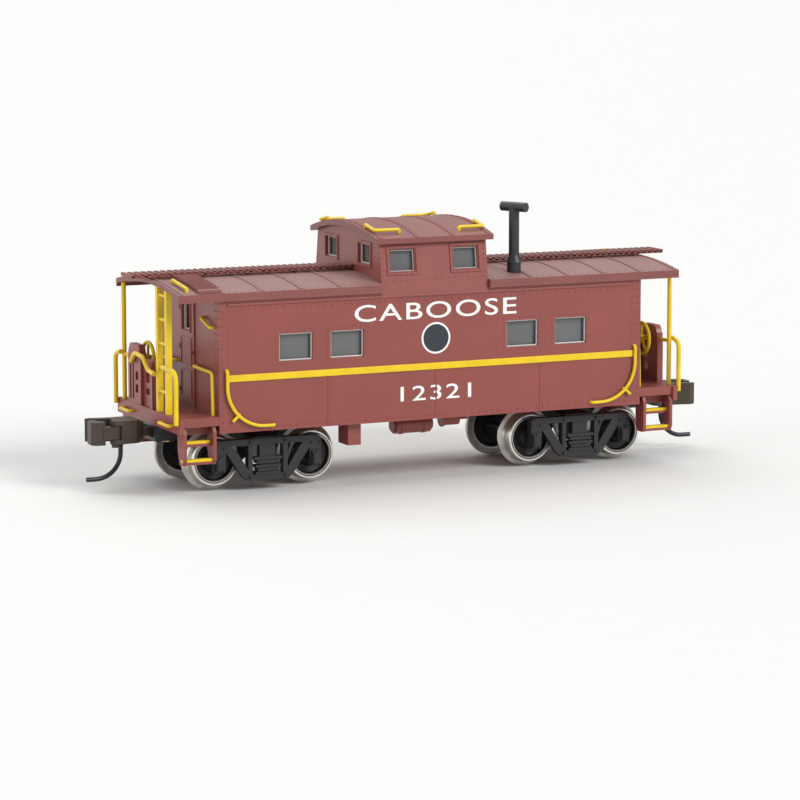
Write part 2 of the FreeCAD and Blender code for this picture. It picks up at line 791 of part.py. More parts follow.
step_inside = half_width - 1.75
STRINGER_THICK = 0.34
STEP_NAMES = {(-1, -1): "step_well_front_a", (1, -1): "step_well_front_b",
              (-1, 1): "step_well_back_a", (1, 1): "step_well_back_b"}


def step_well():
    """Two stringers and two treads below one corner of a platform, at +X and -Y."""
    top = platform_under - 0.45 - size.seat_gap
    bottom = top - 4.0
    outer = half_width + 0.15
    section = [(-step_inside, top), (-(step_inside + 0.1), bottom + 1.4), (-(step_inside + 0.6), bottom),
               (-(outer - 0.3), bottom), (-outer, bottom + 0.5), (-outer, top - 0.6), (-(outer - 0.4), top)]
    pieces = []
    for place in (half_length + 0.42, platform_end - SILL_THICK - size.seat_gap - STRINGER_THICK):
        face = Part.Face(Part.makePolygon([V(float(place), float(y), float(z)) for y,
                                           z in section + section[:1]]))
        pieces.append(face.extrude(V(STRINGER_THICK, 0, 0)))
    low_x, high_x = float(half_length + 0.5), float(platform_end - 0.5)
    for rise, inner, setback in ((1.9, step_inside + 0.15, 0.7), (0.05, step_inside + 0.65, 0.25)):
        front = float(outer) - setback
        tread = Part.makeBox(high_x - low_x, front - float(inner), 0.3)
        tread.translate(V(low_x, -front, float(bottom) + rise))
        pieces.append(tread)
    back = Part.makeBox(high_x - low_x, 0.25, 1.0)
    back.translate(V(low_x, -float(step_inside + 0.3), float(top) - 1.0))
    pieces.append(back)
    return pieces[0].fuse(pieces[1:]).removeSplitter()


def step_edges():
    """Nosings along the front edge of each tread of the step at +X and -Y."""
    top = platform_under - 0.45 - size.seat_gap
    bottom = top - 4.0
    outer = half_width + 0.15
    edges = []
    for rise, front, start, stop in ((2.2, 0.7, 0.85, 0.8), (0.35, 0.25, 0.45, 0.45)):
        length = float(platform_end - half_length) - start - stop
        nosing = Part.makeBox(length, 0.5, 0.3)
        nosing.translate(V(float(half_length) + start, -(float(outer) - front), float(bottom) + rise))
        edges.append(nosing)
    return edges


def four_corners(shape):
    """Copies of a shape for the corners, keyed by (end, side): +X -Y is the original."""
    copies = {(1, -1): shape}
    copies[(1, 1)] = shape.mirror(V(), V(0, 1, 0))
    copies[(-1, -1)] = shape.mirror(V(), V(1, 0, 0))
    other = shape.copy()
    other.rotate(V(), V(0, 0, 1), 180)
    copies[(-1, 1)] = other
    return copies


def steps():
    for corner, shape in four_corners(step_well()).items():
        subpart(solid(shape, "StepWell"), STEP_NAMES[corner])
    nosings = []
    for edge in step_edges():
        nosings.extend(four_corners(edge).values())
    subpart(solid(Part.makeCompound(nosings), "Nosings"), "step_edges")


ladder_stiles = (spread(2.45), spread(5.05))
RUNG_SPACING = 2.55


def both_ends(shapes, label):
    """One node from shapes at the +X end and their half-turned copies at the -X end."""
    pieces = []
    for shape in shapes:
        other = shape.copy()
        other.rotate(V(), V(0, 0, 1), 180)
        pieces.extend([shape, other])
    return subpart(solid(Part.makeCompound(pieces), label.title()), label)


def ladders():
    """Two square stiles with rungs between them, from each platform to the roof."""
    width = size.rail_rod + 0.1
    at = post_at - 0.05
    pieces = []
    for side in ladder_stiles:
        top = roof_underside(side + 0.3) - size.seat_gap
        pieces.append(box((at - width / 2, at + width / 2), (side - width / 2, side + width / 2),
                          (platform_top, top)))
    for number in range(5):
        height = platform_top + 2.2 + number * RUNG_SPACING
        pieces.append(rod(0.2, ladder_stiles[1] - ladder_stiles[0], (at, ladder_stiles[0], height), "y"))
    ladder = subpart(fuse(pieces), "ladder_b")
    subpart(turned(ladder), "ladder_a")


post_side = half_width - 1.15


def platform_rails():
    """Roof posts, corner handrails and the rails from the brake stand."""
    end, radius = float(platform_end), float(rail_radius)
    stand_out = end + radius + 0.02
    deck = float(platform_top)
    at = float(post_at) + 0.1
    post_y = float(post_side)
    outer_stile = float(ladder_stiles[1])
    top = float(roof_underside(post_side + rail_radius + 0.1)) - 0.02
    post = Part.makeCylinder(radius, top - deck, V(at, -post_y, deck))
    both_ends([post], "roof_posts")
    side = float(half_width) + 0.05
    rail_top, foot = deck + 5.0, deck - 0.6
    bend = 1.1
    ladder_rail = bent_rod([(stand_out, outer_stile + 0.1, rail_top), (stand_out, side, rail_top),
                            (stand_out, side, foot)], radius, bend)
    post_rail = bent_rod([(stand_out, -(post_y - 0.45), rail_top + 0.2), (stand_out, -side, rail_top - 0.1),
                          (stand_out, -side, foot)], radius, bend)
    both_ends([ladder_rail, post_rail], "corner_handrails")
    path = [(spread(-4.3), 4.5), (spread(-3.1), 5.6), (spread(-0.6), 5.4), (spread(0.9), 4.2),
            (ladder_stiles[0] + 0.2, 4.0)]
    arch = bent_rod([(stand_out, float(y), deck + up) for y, up in path], radius, 1.2)
    tie_start = post_y - radius
    tie = Part.makeCylinder(radius * 0.8, tie_start - float(stand_outer), V(at, -tie_start, deck + 4.9),
                            V(0, 1, 0))
    both_ends([arch, tie], "end_rails")


stand_outer = spread(6)
stand_inner = -spread(1.2)
stand_wall = spread(5.85)
stand_middle = spread(2.3)


def brake_stands():
    """Upright channel and a lower panel with two openings, on the platform behind the end sill."""
    deck = platform_top
    face = platform_end - 0.05
    back = platform_end - 0.75
    channel = box((back, face), (-(stand_wall + 0.05), -(stand_middle - 0.1)), (deck, deck + 5.6))
    crown = rod((stand_wall - stand_middle + 0.15) / 2, 0.7, (back, -(stand_wall + stand_middle - 0.05) / 2,
                                                              deck + 5.0), "x")
    crown_trim = box((back, face), (-(stand_wall + 0.05), -(stand_middle - 0.1)), (deck + 1, deck + 6.4))
    top = doc.addObject("Part::Common", "Crown")
    top.Base, top.Tool = crown, crown_trim
    body = fuse([channel, top])
    grooves = [box((face - 0.3, face + 0.1), (low, low + 0.4), (deck + 0.4, deck + 5.0))
               for low in (-spread(5.45), -spread(4.65))]
    windows = [box((back - 0.1, face + 0.1), (-spread(3.75), -spread(3.0)), (deck + low, deck + low + 0.9))
               for low in (1.2, 2.6)]
    upright = cut(body, grooves + windows)
    side_flange = box((back, face), (-stand_outer, -stand_wall), (deck, deck + 5.0))
    panel_low = box((back - 0.1, back + 0.35), (-stand_middle, -stand_inner), (deck, deck + 5.1))
    openings = [box((back - 0.3, back + 0.6), (-spread(1.5), spread(0.3)), (deck + low, deck + high))
                for low, high in ((1.3, 1.95), (2.6, 3.8))]
    post = box((back - 0.1, face), (spread(0.5), -stand_inner), (deck, deck + 5.1))
    stand = subpart(fuse([upright, side_flange, cut(panel_low, openings), post]), "brake_stand_b")
    subpart(turned(stand), "brake_stand_a")


brake_wheel_side = -spread(3.7)
BRAKE_WHEEL_RIM = 1.75


def brake_wheels():
    """Hand brake wheel with five spokes, on a short shaft behind the stand."""
    at = float(platform_end) - 1.5
    height = float(platform_top) + 4.8
    centre = V(at, float(brake_wheel_side), height)
    rim = Part.makeTorus(BRAKE_WHEEL_RIM, 0.2, centre, V(1, 0, 0))
    hub = Part.makeCylinder(0.42, 0.5, centre - V(0.25, 0, 0), V(1, 0, 0))
    shaft = Part.makeCylinder(0.22, 0.73, centre, V(1, 0, 0))
    spokes = []
    for number in range(5):
        angle = 2 * math.pi * number / 5
        along = V(0, math.sin(angle), math.cos(angle))
        spokes.append(Part.makeCylinder(0.14, BRAKE_WHEEL_RIM, centre, along))
    wheel = rim.fuse([hub, shaft] + spokes)
    other = wheel.copy()
    other.rotate(V(), V(0, 0, 1), 180)
    subpart(solid(wheel, "BrakeWheel"), "brake_wheel_b")
    subpart(solid(other, "BrakeWheel"), "brake_wheel_a")


# ---------------------------------------------------------------- grab irons

def side_grab_irons():
    """Curved grab irons at the lower corners of both sides, with a spur at the middle of the bend."""
    radius = float(grab_radius)
    side = float(half_width) + radius + 0.12
    wall_face = float(half_width) - 0.1
    end = float(half_length) - 0.8
    low = float(body_bottom) + 0.6
    sweep = 4.5
    foot_bend = 0.25
    top = low + sweep + 1.5
    inner_end = end - sweep - 0.8
    iron = bent_rod([(end, -wall_face, top), (end, -side, top), (end, -side, low), (inner_end, -side, low),
                     (inner_end, -wall_face, low)], radius, (foot_bend, sweep, foot_bend), 0.8)
    slant = sweep * (1 - math.sqrt(0.5))
    elbow = V(end - slant, -side, low + slant)
    foot = Part.makeCylinder(radius * 0.85, side - wall_face, elbow, V(0, 1, 0))
    spur = Part.makeCylinder(radius * 0.9, 1.0, elbow, V(0.75, 0, -0.66))
    iron = iron.fuse([foot, spur])
    subpart(solid(Part.makeCompound(list(four_corners(iron).values())), "SideIrons"), "side_grab_irons")


def hoop(start, stop, stand_off):
    """A straight grab iron between two places on a surface, standing off along one direction."""
    start, stop, lift = V(*start), V(*stop), V(*stand_off)
    return bent_rod([tuple(start), tuple(start + lift), tuple(stop + lift), tuple(stop)], grab_radius, 0.3)


def end_wall_irons():
    """Angled handrails on both sides of each door, and a slanted grab iron beside the ladder."""
    radius = float(grab_radius)
    wall_face = float(half_length) - 0.1
    at = wall_face + 0.5
    deck = float(platform_top)
    irons = []
    for side in (-1, 1):
        inner, outer = side * 2.6, side * (float(half_width) - 1.05)
        irons.append(bent_rod([(wall_face, inner, deck + 4.6), (at, inner, deck + 4.6),
                               (at, outer, deck + 4.5),
                               (at, outer + side * 0.2, deck + 0.02)], radius, 0.35))
    inner, outer = float(spread(4.8)), float(spread(7.5))
    irons.append(hoop((wall_face, inner, deck + 10.0), (wall_face, outer, deck + 9.2), (0.5, 0, 0)))
    both_ends(irons, "end_wall_irons")


def sill_grab_irons():
    """Grab irons on the face of each end sill, one on each side of the coupler."""
    face = float(platform_end) - 0.05
    height = float(platform_top) - 0.9
    inner, outer = float(spread(4.4)), float(spread(7.2))
    irons = [hoop((face, side * inner, height), (face, side * outer, height), (0.55, 0, 0)) for side in (-1,
                                                                                                         1)]
    both_ends(irons, "sill_grab_irons")


def roof_grab_irons():
    """Grab irons on the roof corners and round the edges of the cupola roof."""
    irons = []
    lift = 0.42
    edge = float(post_at) - 0.9
    near, far = spread(4.2), spread(8.3)
    feet = [(edge, float(place), float(roof_height(place)) - 0.05) for place in (near, far)]
    irons.append(hoop(feet[0], feet[1], (0, 0, lift)))
    for side in (-1, 1):
        inner, outer = float(spread(4.9)), float(cupola_top_half) - 0.9
        out = float(cupola_half) + 0.15
        heights = [float(cupola_roof_height(value)) - 0.05 for value in (inner, outer)]
        irons.append(bent_rod([(out, side * inner, heights[0]), (out, side * inner, heights[0] + lift),
                               (out, side * outer, heights[1] + lift), (out - 2.9, side * outer,
                                                                        heights[1] + lift),
                               (out - 2.9, side * outer, heights[1])], float(grab_radius), 0.3))
    both_ends(irons, "roof_grab_irons")


# ---------------------------------------------------------------- trucks

bolster_under = body_bottom - 1.8
BOLSTER_HALF = 1.7
BOLSTER_BOSS = 1.6
JOURNAL_HALF = 0.62
JOURNAL_LID = (0.48, -0.85, 0.7)  # half width, lower and upper edge from the axle
CUP_DEPTH = 0.72
CUP_MOUTH = 0.62
CUP_TIP = 0.16
FRAME_FOOT = 2.15
CHORD = 0.65
LEAVES = ((1.45, 0.6), (1.2, 0.97), (1.45, 1.34), (1.3, 1.81), (1.6, 2.18))  # half length, lower face
LEAF_THICK = 0.3


def round_hole(body, plane_height, radius, depth):
    """A vertical hole at the middle of a truck, up or down from a plane as deep as asked."""
    sketch = sketch_on(body, "XY", plane_height)
    circle = sketch.addGeometry(Part.Circle(V(), V(0, 0, 1), float(radius)))
    pin_point(sketch, circle, 3, 0, 0)
    index = sketch.addConstraint(Sketcher.Constraint("Radius", circle, float(radius)))
    bind(sketch, f"Constraints[{index}]", radius)
    pocket(body, sketch, depth)


def truck_frame(label, centre):
    """Both side frames and the bolster of one truck, a single moulding."""
    body = new_body(label)
    bind(body, "Placement.Base.x", centre)
    top = bolster_under + CHORD
    bottom = axle_height - FRAME_FOOT
    journal_low = axle_height - 1.05
    journal = half_wheelbase
    side = sketch_on(body, "XZ")
    right = [(2.3, bottom), (2.9, bottom + 0.5), (journal - JOURNAL_HALF - 0.1, top - 2 * CHORD),
             (journal - JOURNAL_HALF, journal_low), (journal + JOURNAL_HALF, journal_low),
             (journal + JOURNAL_HALF, top - 0.3), (journal + JOURNAL_HALF - 0.3, top)]
    left = [(-as_size(across), up) for across, up in reversed(right)]
    outline(side, right + left)
    pad(body, side, 2 * frame_outside)
    gaps = sketch_on(body, "XZ")
    outline(gaps, rectangle(-1.75, 1.75, bottom + CHORD, top - CHORD))
    for hand in (-1, 1):
        triangle = [(2.25 * hand, bottom + 1.2), (journal * hand - 1.55 * hand, top - CHORD),
                    (2.25 * hand, top - CHORD)]
        outline(gaps, triangle)
    pocket(body, gaps, 2 * frame_outside + 1)
    springs = sketch_on(body, "XZ")
    for half, low in LEAVES:
        outline(springs, rectangle(-half, half, bottom + low, bottom + low + LEAF_THICK))
    pad(body, springs, 2 * (frame_outside + 0.1))
    spring_core = sketch_on(body, "XZ")
    outline(spring_core, rectangle(-0.9, 0.9, bottom + 0.5, bolster_under + 0.4))
    pad(body, spring_core, 2 * (frame_outside - 0.15))
    lids = sketch_on(body, "XZ")
    half, low, high = JOURNAL_LID
    for hand in (-1, 1):
        at = journal * hand
        outline(lids, rectangle(at - half, at + half, axle_height + low, axle_height + high))
    pad(body, lids, 2 * (frame_outside + 0.3))
    wheel_bays = sketch_on(body, "XY", axle_height)
    reach = journal + 3
    outline(wheel_bays, rectangle(-reach, reach, -size.frame_inside, size.frame_inside))
    pocket(body, wheel_bays, 20)
    bolster = sketch_on(body, "XZ")
    bolster_top = floor_under - 0.85
    outline(bolster, rectangle(-BOLSTER_HALF, BOLSTER_HALF, bolster_under, bolster_top - 0.35))
    pad(body, bolster, 2 * size.frame_inside + 1.4)
    boss = sketch_on(body, "XY", bolster_under)
    circle = boss.addGeometry(Part.Circle(V(), V(0, 0, 1), BOLSTER_BOSS))
    pin_point(boss, circle, 3, 0, 0)
    boss.addConstraint(Sketcher.Constraint("Radius", circle, BOLSTER_BOSS))
    pad(body, boss, bolster_top + 0.35 - bolster_under, midplane=False)
    round_hole(body, bolster_under, size.pivot_radius + size.running_gap, 10)
    mouth = size.frame_inside - 0.01
    for along in (-1, 1):
        place = journal * along
        for hand in (-1, 1):
            cup = sketch_on(body, "XY", axle_height)
            outline(cup, [(place, hand * mouth), (place + CUP_MOUTH, hand * mouth),
                          (place + CUP_TIP, hand * (mouth + CUP_DEPTH)), (place, hand * (mouth + CUP_DEPTH))])
            cup_groove(body, cup)
    return subpart(body, label)


def cup_groove(body, profile):
    """A bearing cup: its profile turned about its own last side."""
    doc.recompute()
    before = body.Shape.Volume
    feature = body.newObject("PartDesign::Groove", "Cup")
    feature.Profile = profile
    feature.ReferenceAxis = (profile, ["Edge4"])
    feature.Angle = 360
    doc.recompute()
    if body.Shape.Volume >= before:
        raise RuntimeError("a bearing cup cuts nothing")


def axle(label, place):
    """Steel axle with needle points that run in the cups of the side frames."""
    body = new_body(label)
    bind(body, "Placement.Base.x", place)
    bind(body, "Placement.Base.z", axle_height)
    shoulder = size.frame_inside - 0.02
    point = size.frame_inside + CUP_DEPTH - 0.1
    profile = sketch_on(body, "YZ")
    outline(profile, [(-point, 0), (point, 0), (point, 0.1), (shoulder, size.axle_radius),
                      (-shoulder, size.axle_radius), (-point, 0.1)])
    revolve(body, profile, "H")
    return subpart(body, label)


def wheel_pair(label, place):
    """Two flanged wheels with dished plates, pressed on one axle."""
    body = new_body(label + "_wheel")
    bind(body, "Placement.Base.x", place)
    bind(body, "Placement.Base.z", axle_height)
    back = size.wheel_back
    face = back + size.wheel_width
    flange = size.tread_radius + size.flange_depth
    rim_inside = size.tread_radius - 0.5
    bore = size.axle_radius
    profile = sketch_on(body, "YZ")
    outline(profile, [
        (back, bore), (face, bore), (face, bore + 0.35), (face - 0.3, bore + 0.55), (face - 0.75,
                                                                                     bore + 0.85),
        (face - 0.65, rim_inside - 0.15), (face - 0.1, rim_inside), (face, rim_inside + 0.06),
        (face, size.tread_radius - 0.1), (face - 0.08, size.tread_radius - 0.02), (back + 0.62,
                                                                                   size.tread_radius + 0.03),
        (back + 0.42, size.tread_radius + 0.2), (back + 0.32, flange), (back + 0.12, flange),
        (back, flange - 0.12), (back, rim_inside), (back + 0.3, rim_inside - 0.15), (back + 0.3, bore + 0.6),
        (back, bore + 0.5)])
    revolve(body, profile, "H")
    return subpart(group([body, mirrored(body, V(0, 1, 0))]), label)


def trucks():
    for end, direction in (("a", -1), ("b", 1)):
        truck_frame(f"truck_frame_{end}", direction * truck_at)
    number = 0
    for direction in (-1, 1):
        for side in (-1, 1):
            number += 1
            place = direction * truck_at + side * half_wheelbase
            axle(f"axle_{number}", place)
            wheel_pair(f"wheels_{number}", place)


# ---------------------------------------------------------------- couplers

SHANK_HALF = 0.6
SHANK_TALL = 0.9
RING = 1.0
BOX_POST = 0.5
BOX_SCREW = 0.28
BOX_HALF = 1.9
coupler_box_top = coupler_height + SHANK_TALL / 2 + 0.33
coupler_box_low = coupler_height - SHANK_TALL / 2 - 0.5
head_low = coupler_height - 1.0
head_high = coupler_height + 1.45
knuckle_at = (coupler_face - 2.7, 1.15)
TRIP_WIRE = 0.26


def coupler_boxes():
    """Draft gear box under each platform: a cavity with a post, open at the front."""
    start, stop = platform_end - 4.0, platform_end - 0.05
    outer = box((start, stop), (-BOX_HALF, BOX_HALF), (coupler_box_low, coupler_box_top))
    cavity_low, cavity_high = coupler_box_low + 0.4, coupler_box_top - 0.25
    cavity = box((start + 0.4, stop + 0.5), (-1.5, 1.5), (cavity_low, cavity_high))
    post = rod(BOX_POST, cavity_high - cavity_low + 0.2, (coupler_pivot, 0, cavity_low - 0.1))
    screw_hole = rod(BOX_SCREW + 0.02, coupler_box_top - coupler_box_low + 1,
                     (coupler_pivot, 0, coupler_box_low - 0.5))
    shell = subpart(cut(fuse([cut(outer, [cavity]), post]), [screw_hole]), "coupler_box_b")
    subpart(turned(shell), "coupler_box_a")
    head = rod(0.75, 0.3, (coupler_pivot, 0, coupler_box_low - 0.3))
    shank = rod(BOX_SCREW, coupler_box_top - coupler_box_low + 0.9, (coupler_pivot, 0, coupler_box_low - 0.1))
    screw = fuse([head, shank])
    subpart(group([screw, turned(screw)]), "coupler_box_screws")
    leaf_at = coupler_pivot - RING - 0.06 - 0.15
    leaf = box((leaf_at - 0.15, leaf_at), (-1.4, 1.4), (coupler_height - 0.4, coupler_height + 0.4))
    heel = box((start + 0.42, leaf_at - 0.1), (-0.4, 0.4), (coupler_height - 0.4, coupler_height + 0.4))
    spring = fuse([leaf, heel])
    subpart(group([spring, turned(spring)]), "centring_springs")


def prism(points, low, high):
    """A vertical prism over a plan outline."""
    corners = [V(float(x), float(y), float(low)) for x, y in points]
    return Part.Face(Part.makePolygon(corners + corners[:1])).extrude(V(0, 0, float(high) - float(low)))


def coupler_head():
    """Shank with a ring round the post, head block, guard arm and the lugs that hold the knuckle."""
    face = float(coupler_face)
    middle = float(coupler_height)
    low, high = float(head_low), float(head_high)
    pivot = float(coupler_pivot)
    kx, ky = (float(value) for value in knuckle_at)
    half_tall = SHANK_TALL / 2
    ring = Part.makeCylinder(RING, SHANK_TALL, V(pivot, 0, middle - half_tall))
    shank = Part.makeBox(face - 5.3 - pivot, 2 * SHANK_HALF, SHANK_TALL,
                         V(pivot, -SHANK_HALF, middle - half_tall))
    neck_start = float(platform_end) + 0.75
    neck = prism([(neck_start, -0.62), (face - 4.9, -0.95), (face - 4.9, 0.95), (neck_start, 0.62)],
                 low + 0.25, high - 0.35)
    block = prism([(face - 5.35, -1.35), (face - 4.9, -1.6), (face - 2.7, -1.6), (face - 2.7, 1.0),
                   (face - 3.4, 1.75),
                   (face - 4.9, 1.6), (face - 5.35, 1.35)], low, high)
    guard = prism([(face - 2.75, -1.6), (face - 1.0, -2.0), (face - 0.3, -1.75), (face - 1.3, -1.05),
                   (face - 2.75, -0.75)], low, high)
    lugs = [prism([(face - 3.5, 0.4), (kx, 0.4), (kx + 0.6, ky), (kx, ky + 0.6), (face - 3.5, ky + 0.6)],
                  start, start + 0.5)
            for start in (low, high - 0.5)]
    boss_room = Part.makeCylinder(KNUCKLE_BOSS + 0.08, high - low - 1.0, V(kx, ky, low + 0.5))
    swing_room = prism([(kx - 0.1, ky - 1.0), (kx + 2, ky - 1.0), (kx + 2, ky + 2), (kx - 0.1, ky + 1.2)],
                       low + 0.5, high - 0.5)
    pin_hole = Part.makeCylinder(KNUCKLE_PIN + float(size.running_gap), high - low + 1, V(kx, ky, low - 0.5))
    post_hole = Part.makeCylinder(BOX_POST + float(size.running_gap), SHANK_TALL + 1,
                                  V(pivot, 0, middle - half_tall - 0.5))
    whole = ring.fuse([shank, neck, block, guard] + lugs)
    return whole.cut([boss_room, swing_room, pin_hole, post_hole]).removeSplitter()


KNUCKLE_BOSS = 0.55
KNUCKLE_PIN = 0.22
LEVER_THICK = 0.3


def knuckle():
    """Hook that turns on the pin, with a lever below the head that carries the trip pin."""
    face = float(coupler_face)
    low, high = float(head_low), float(head_high)
    kx, ky = (float(value) for value in knuckle_at)
    gap = 0.06
    boss = Part.makeCylinder(KNUCKLE_BOSS, high - low - 1.0 - 2 * gap, V(kx, ky, low + 0.5 + gap))
    arm = prism([(kx, ky - 0.45), (kx + 1.5, ky - 0.45), (kx + 1.5, ky + 0.6), (kx, ky + 0.5)],
                low + 0.5 + gap, high - 0.5 - gap)
    nose = prism([(kx + 1.3, ky + 0.55), (face - 0.35, ky + 0.45), (face, ky - 0.1), (face - 0.1, ky - 1.45),
                  (face - 0.75, ky - 1.5), (face - 1.15, ky - 0.5), (kx + 1.3, ky - 0.45)], low, high)
    lever_high = low - gap
    lever = prism([(kx - 0.1, ky + 0.35), (kx + 0.35, ky - 0.1), (kx - 0.75, ky - 1.35),
                   (kx - 1.2, ky - 0.9)],
                  lever_high - LEVER_THICK, lever_high)
    hub = Part.makeCylinder(0.42, LEVER_THICK, V(kx, ky, lever_high - LEVER_THICK))
    hook = boss.fuse([arm, nose]).cut(Part.makeCylinder(KNUCKLE_PIN + float(size.seat_gap), high - low + 1,
                                                         V(kx, ky, low - 0.5)))
    plate = lever.fuse(hub)
    rear = V(kx - 0.95, ky - 1.1, 0)
    wire_hole = Part.makeCylinder(TRIP_WIRE, LEVER_THICK + 1,
                                  V(rear.x, rear.y, lever_high - LEVER_THICK - 0.5))
    return hook.removeSplitter(), plate.cut(wire_hole).removeSplitter()


def trip_pin():
    """Steel wire from the lever down, out and up a little, above the lowest point of the flanges."""
    low = float(head_low) - 0.06
    kx, ky = (float(value) for value in knuckle_at)
    x, y = kx - 0.95, ky - 1.1
    drop = 1.0
    sweep = float(head_low) - drop - 1.35
    lowest = low - drop - sweep
    circle = Part.Wire([Part.Circle(V(x, y, low), V(0, 0, 1), TRIP_WIRE - 0.01).toShape()])
    corner = 1 - math.sqrt(0.5)
    path = Part.Wire([
        Part.LineSegment(V(x, y, low), V(x, y, low - drop)).toShape(),
        Part.Arc(V(x, y, low - drop), V(x + sweep * corner, y, low - drop - sweep * (1 - corner)),
                 V(x + sweep, y, lowest)).toShape(),
        Part.LineSegment(V(x + sweep, y, lowest), V(x + sweep + 1.1, y, lowest)).toShape()])
    return path.makePipeShell([circle], True, False)


def couplers():
    kx, ky = (float(value) for value in knuckle_at)
    hook, plate = knuckle()
    pin = Part.makeCylinder(KNUCKLE_PIN, float(head_high) - float(head_low) - 0.02,
                            V(kx, ky, float(head_low) + 0.01))
    ends = {"b": 0, "a": 180}
    pieces = {"coupler_head": coupler_head(), "coupler_knuckle": Part.makeCompound([hook, plate]),
              "knuckle_pin": pin, "trip_pin": trip_pin()}
    for end, turn in ends.items():
        for label, shape in pieces.items():
            placed = shape.copy()
            placed.rotate(V(), V(0, 0, 1), turn)
            subpart(solid(placed, label.title()), f"{label}_{end}")


# ---------------------------------------------------------------- the whole car

body_shell()
roof()
cupola_shell()
cupola_roof()
glazing()
running_boards()
corner_boards()
smoke_jack()
underframe()
ballast_weight()
truck_screws()
underbody_gear()
end_platforms()
steps()
ladders()
platform_rails()
brake_stands()
brake_wheels()
side_grab_irons()
end_wall_irons()
sill_grab_irons()
roof_grab_irons()
trucks()
coupler_boxes()
couplers()
doc.recompute()

for thing in doc.Objects:
    if "Invalid" in thing.State or "Error" in thing.State:
        raise RuntimeError(f"{thing.Name} ({thing.Label}) failed: {thing.State}")
os.makedirs("parts", exist_ok=True)
labels = [thing.Label for thing in SUBPARTS]
if len(set(labels)) != len(labels) or len(labels) > 60:
    raise RuntimeError(f"{len(labels)} sub-parts, {len(set(labels))} names")
for thing in SUBPARTS:
    if thing.Shape.isNull() or not thing.Shape.isValid():
        raise RuntimeError(f"{thing.Label} has no valid shape")
    thing.Shape.exportStep(f"parts/{thing.Label}.step")
print(len(labels), "sub-parts written")
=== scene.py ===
import json
import math

import bmesh
import bpy
from bpy.props import FloatProperty, FloatVectorProperty, PointerProperty
from mathutils import Matrix, Vector


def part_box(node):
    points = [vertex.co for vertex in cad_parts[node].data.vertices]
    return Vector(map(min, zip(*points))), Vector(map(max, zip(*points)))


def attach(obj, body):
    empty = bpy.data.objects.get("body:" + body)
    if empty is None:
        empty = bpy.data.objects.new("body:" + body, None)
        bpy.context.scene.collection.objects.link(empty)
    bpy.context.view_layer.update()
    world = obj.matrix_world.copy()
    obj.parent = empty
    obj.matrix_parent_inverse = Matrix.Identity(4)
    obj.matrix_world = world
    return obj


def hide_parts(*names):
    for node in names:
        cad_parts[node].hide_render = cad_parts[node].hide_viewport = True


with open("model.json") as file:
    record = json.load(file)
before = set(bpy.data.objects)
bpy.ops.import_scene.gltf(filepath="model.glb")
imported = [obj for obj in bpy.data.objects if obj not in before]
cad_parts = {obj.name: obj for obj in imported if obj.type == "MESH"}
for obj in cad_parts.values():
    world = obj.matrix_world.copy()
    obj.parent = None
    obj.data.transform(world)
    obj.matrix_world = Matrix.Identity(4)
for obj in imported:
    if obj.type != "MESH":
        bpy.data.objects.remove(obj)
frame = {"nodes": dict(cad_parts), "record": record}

bl_info = {
    "name": "Model Caboose Looks",
    "version": (1, 0, 0),
    "blender": (4, 5, 0),
    "location": "View3D > Sidebar > Caboose",
    "description": "Finishes and fine pieces for the model caboose",
    "category": "Add Mesh",
}

MM = 0.001
CAR = "car_body"


# ------------------------------------------------------------------ places read from the frame

def extent(node):
    """Lowest and highest corner of a CAD node, in metres."""
    low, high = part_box(node)
    return Vector(low), Vector(high)


BODY_LOW, BODY_HIGH = extent("body_shell")
ROOF_LOW, ROOF_HIGH = extent("roof")
CUPOLA_LOW, CUPOLA_HIGH = extent("cupola_shell")
CAP_HIGH = extent("cupola_roof")[1]
BOARD_LOW, BOARD_HIGH = extent("running_board_b")
DECK = extent("end_platform_b")[1].z
DOOR_PROUD = 0.15 * MM
WALL_END = BODY_HIGH.x - DOOR_PROUD
SIDE = BODY_HIGH.y
EAVE = ROOF_LOW.z
EAVE_DEPTH = 0.85 * MM
ROOF_HALF = ROOF_HIGH.y
ROOF_RISE = ROOF_HIGH.z - EAVE - EAVE_DEPTH
CAP_HALF = CAP_HIGH.y
CAP_RISE = 1.25 * MM
CAP_EDGE = CAP_HIGH.z - CAP_RISE
AXLE_HEIGHT = (extent("wheels_1")[0].z + extent("wheels_1")[1].z) / 2
TRUCK_AT = (extent("axle_3")[0].x + extent("axle_4")[1].x) / 2
HALF_WHEELBASE = (extent("axle_4")[1].x - extent("axle_3")[1].x) / 2
WHEEL_FACE = extent("wheels_1")[1].y
SIDE_WINDOWS = [place * MM for place in (-16.3, -10.4, 10.4, 16.3)]
WINDOW_HALF, WINDOW_LOW, WINDOW_HIGH = 1.925 * MM, 13.95 * MM, 16.85 * MM
DOOR_PANE = (1.05 * MM, 16.7 * MM, 19.5 * MM)  # half width, lower edge, upper edge
CUPOLA_PANE = (3.73 * MM, 1.45 * MM, 22.75 * MM, 25.05 * MM)  # centre, half width, lower edge, upper edge
CUPOLA_END_PANE = (4.35 * MM, 1.45 * MM, 23.3 * MM, 25.4 * MM)
CUPOLA_LEAN = 0.85 * MM / (5.65 * MM)  # each side leans in by this much for its height
SEAMS_ON_SIDE = (-12.6 * MM, 0.0, 12.6 * MM)

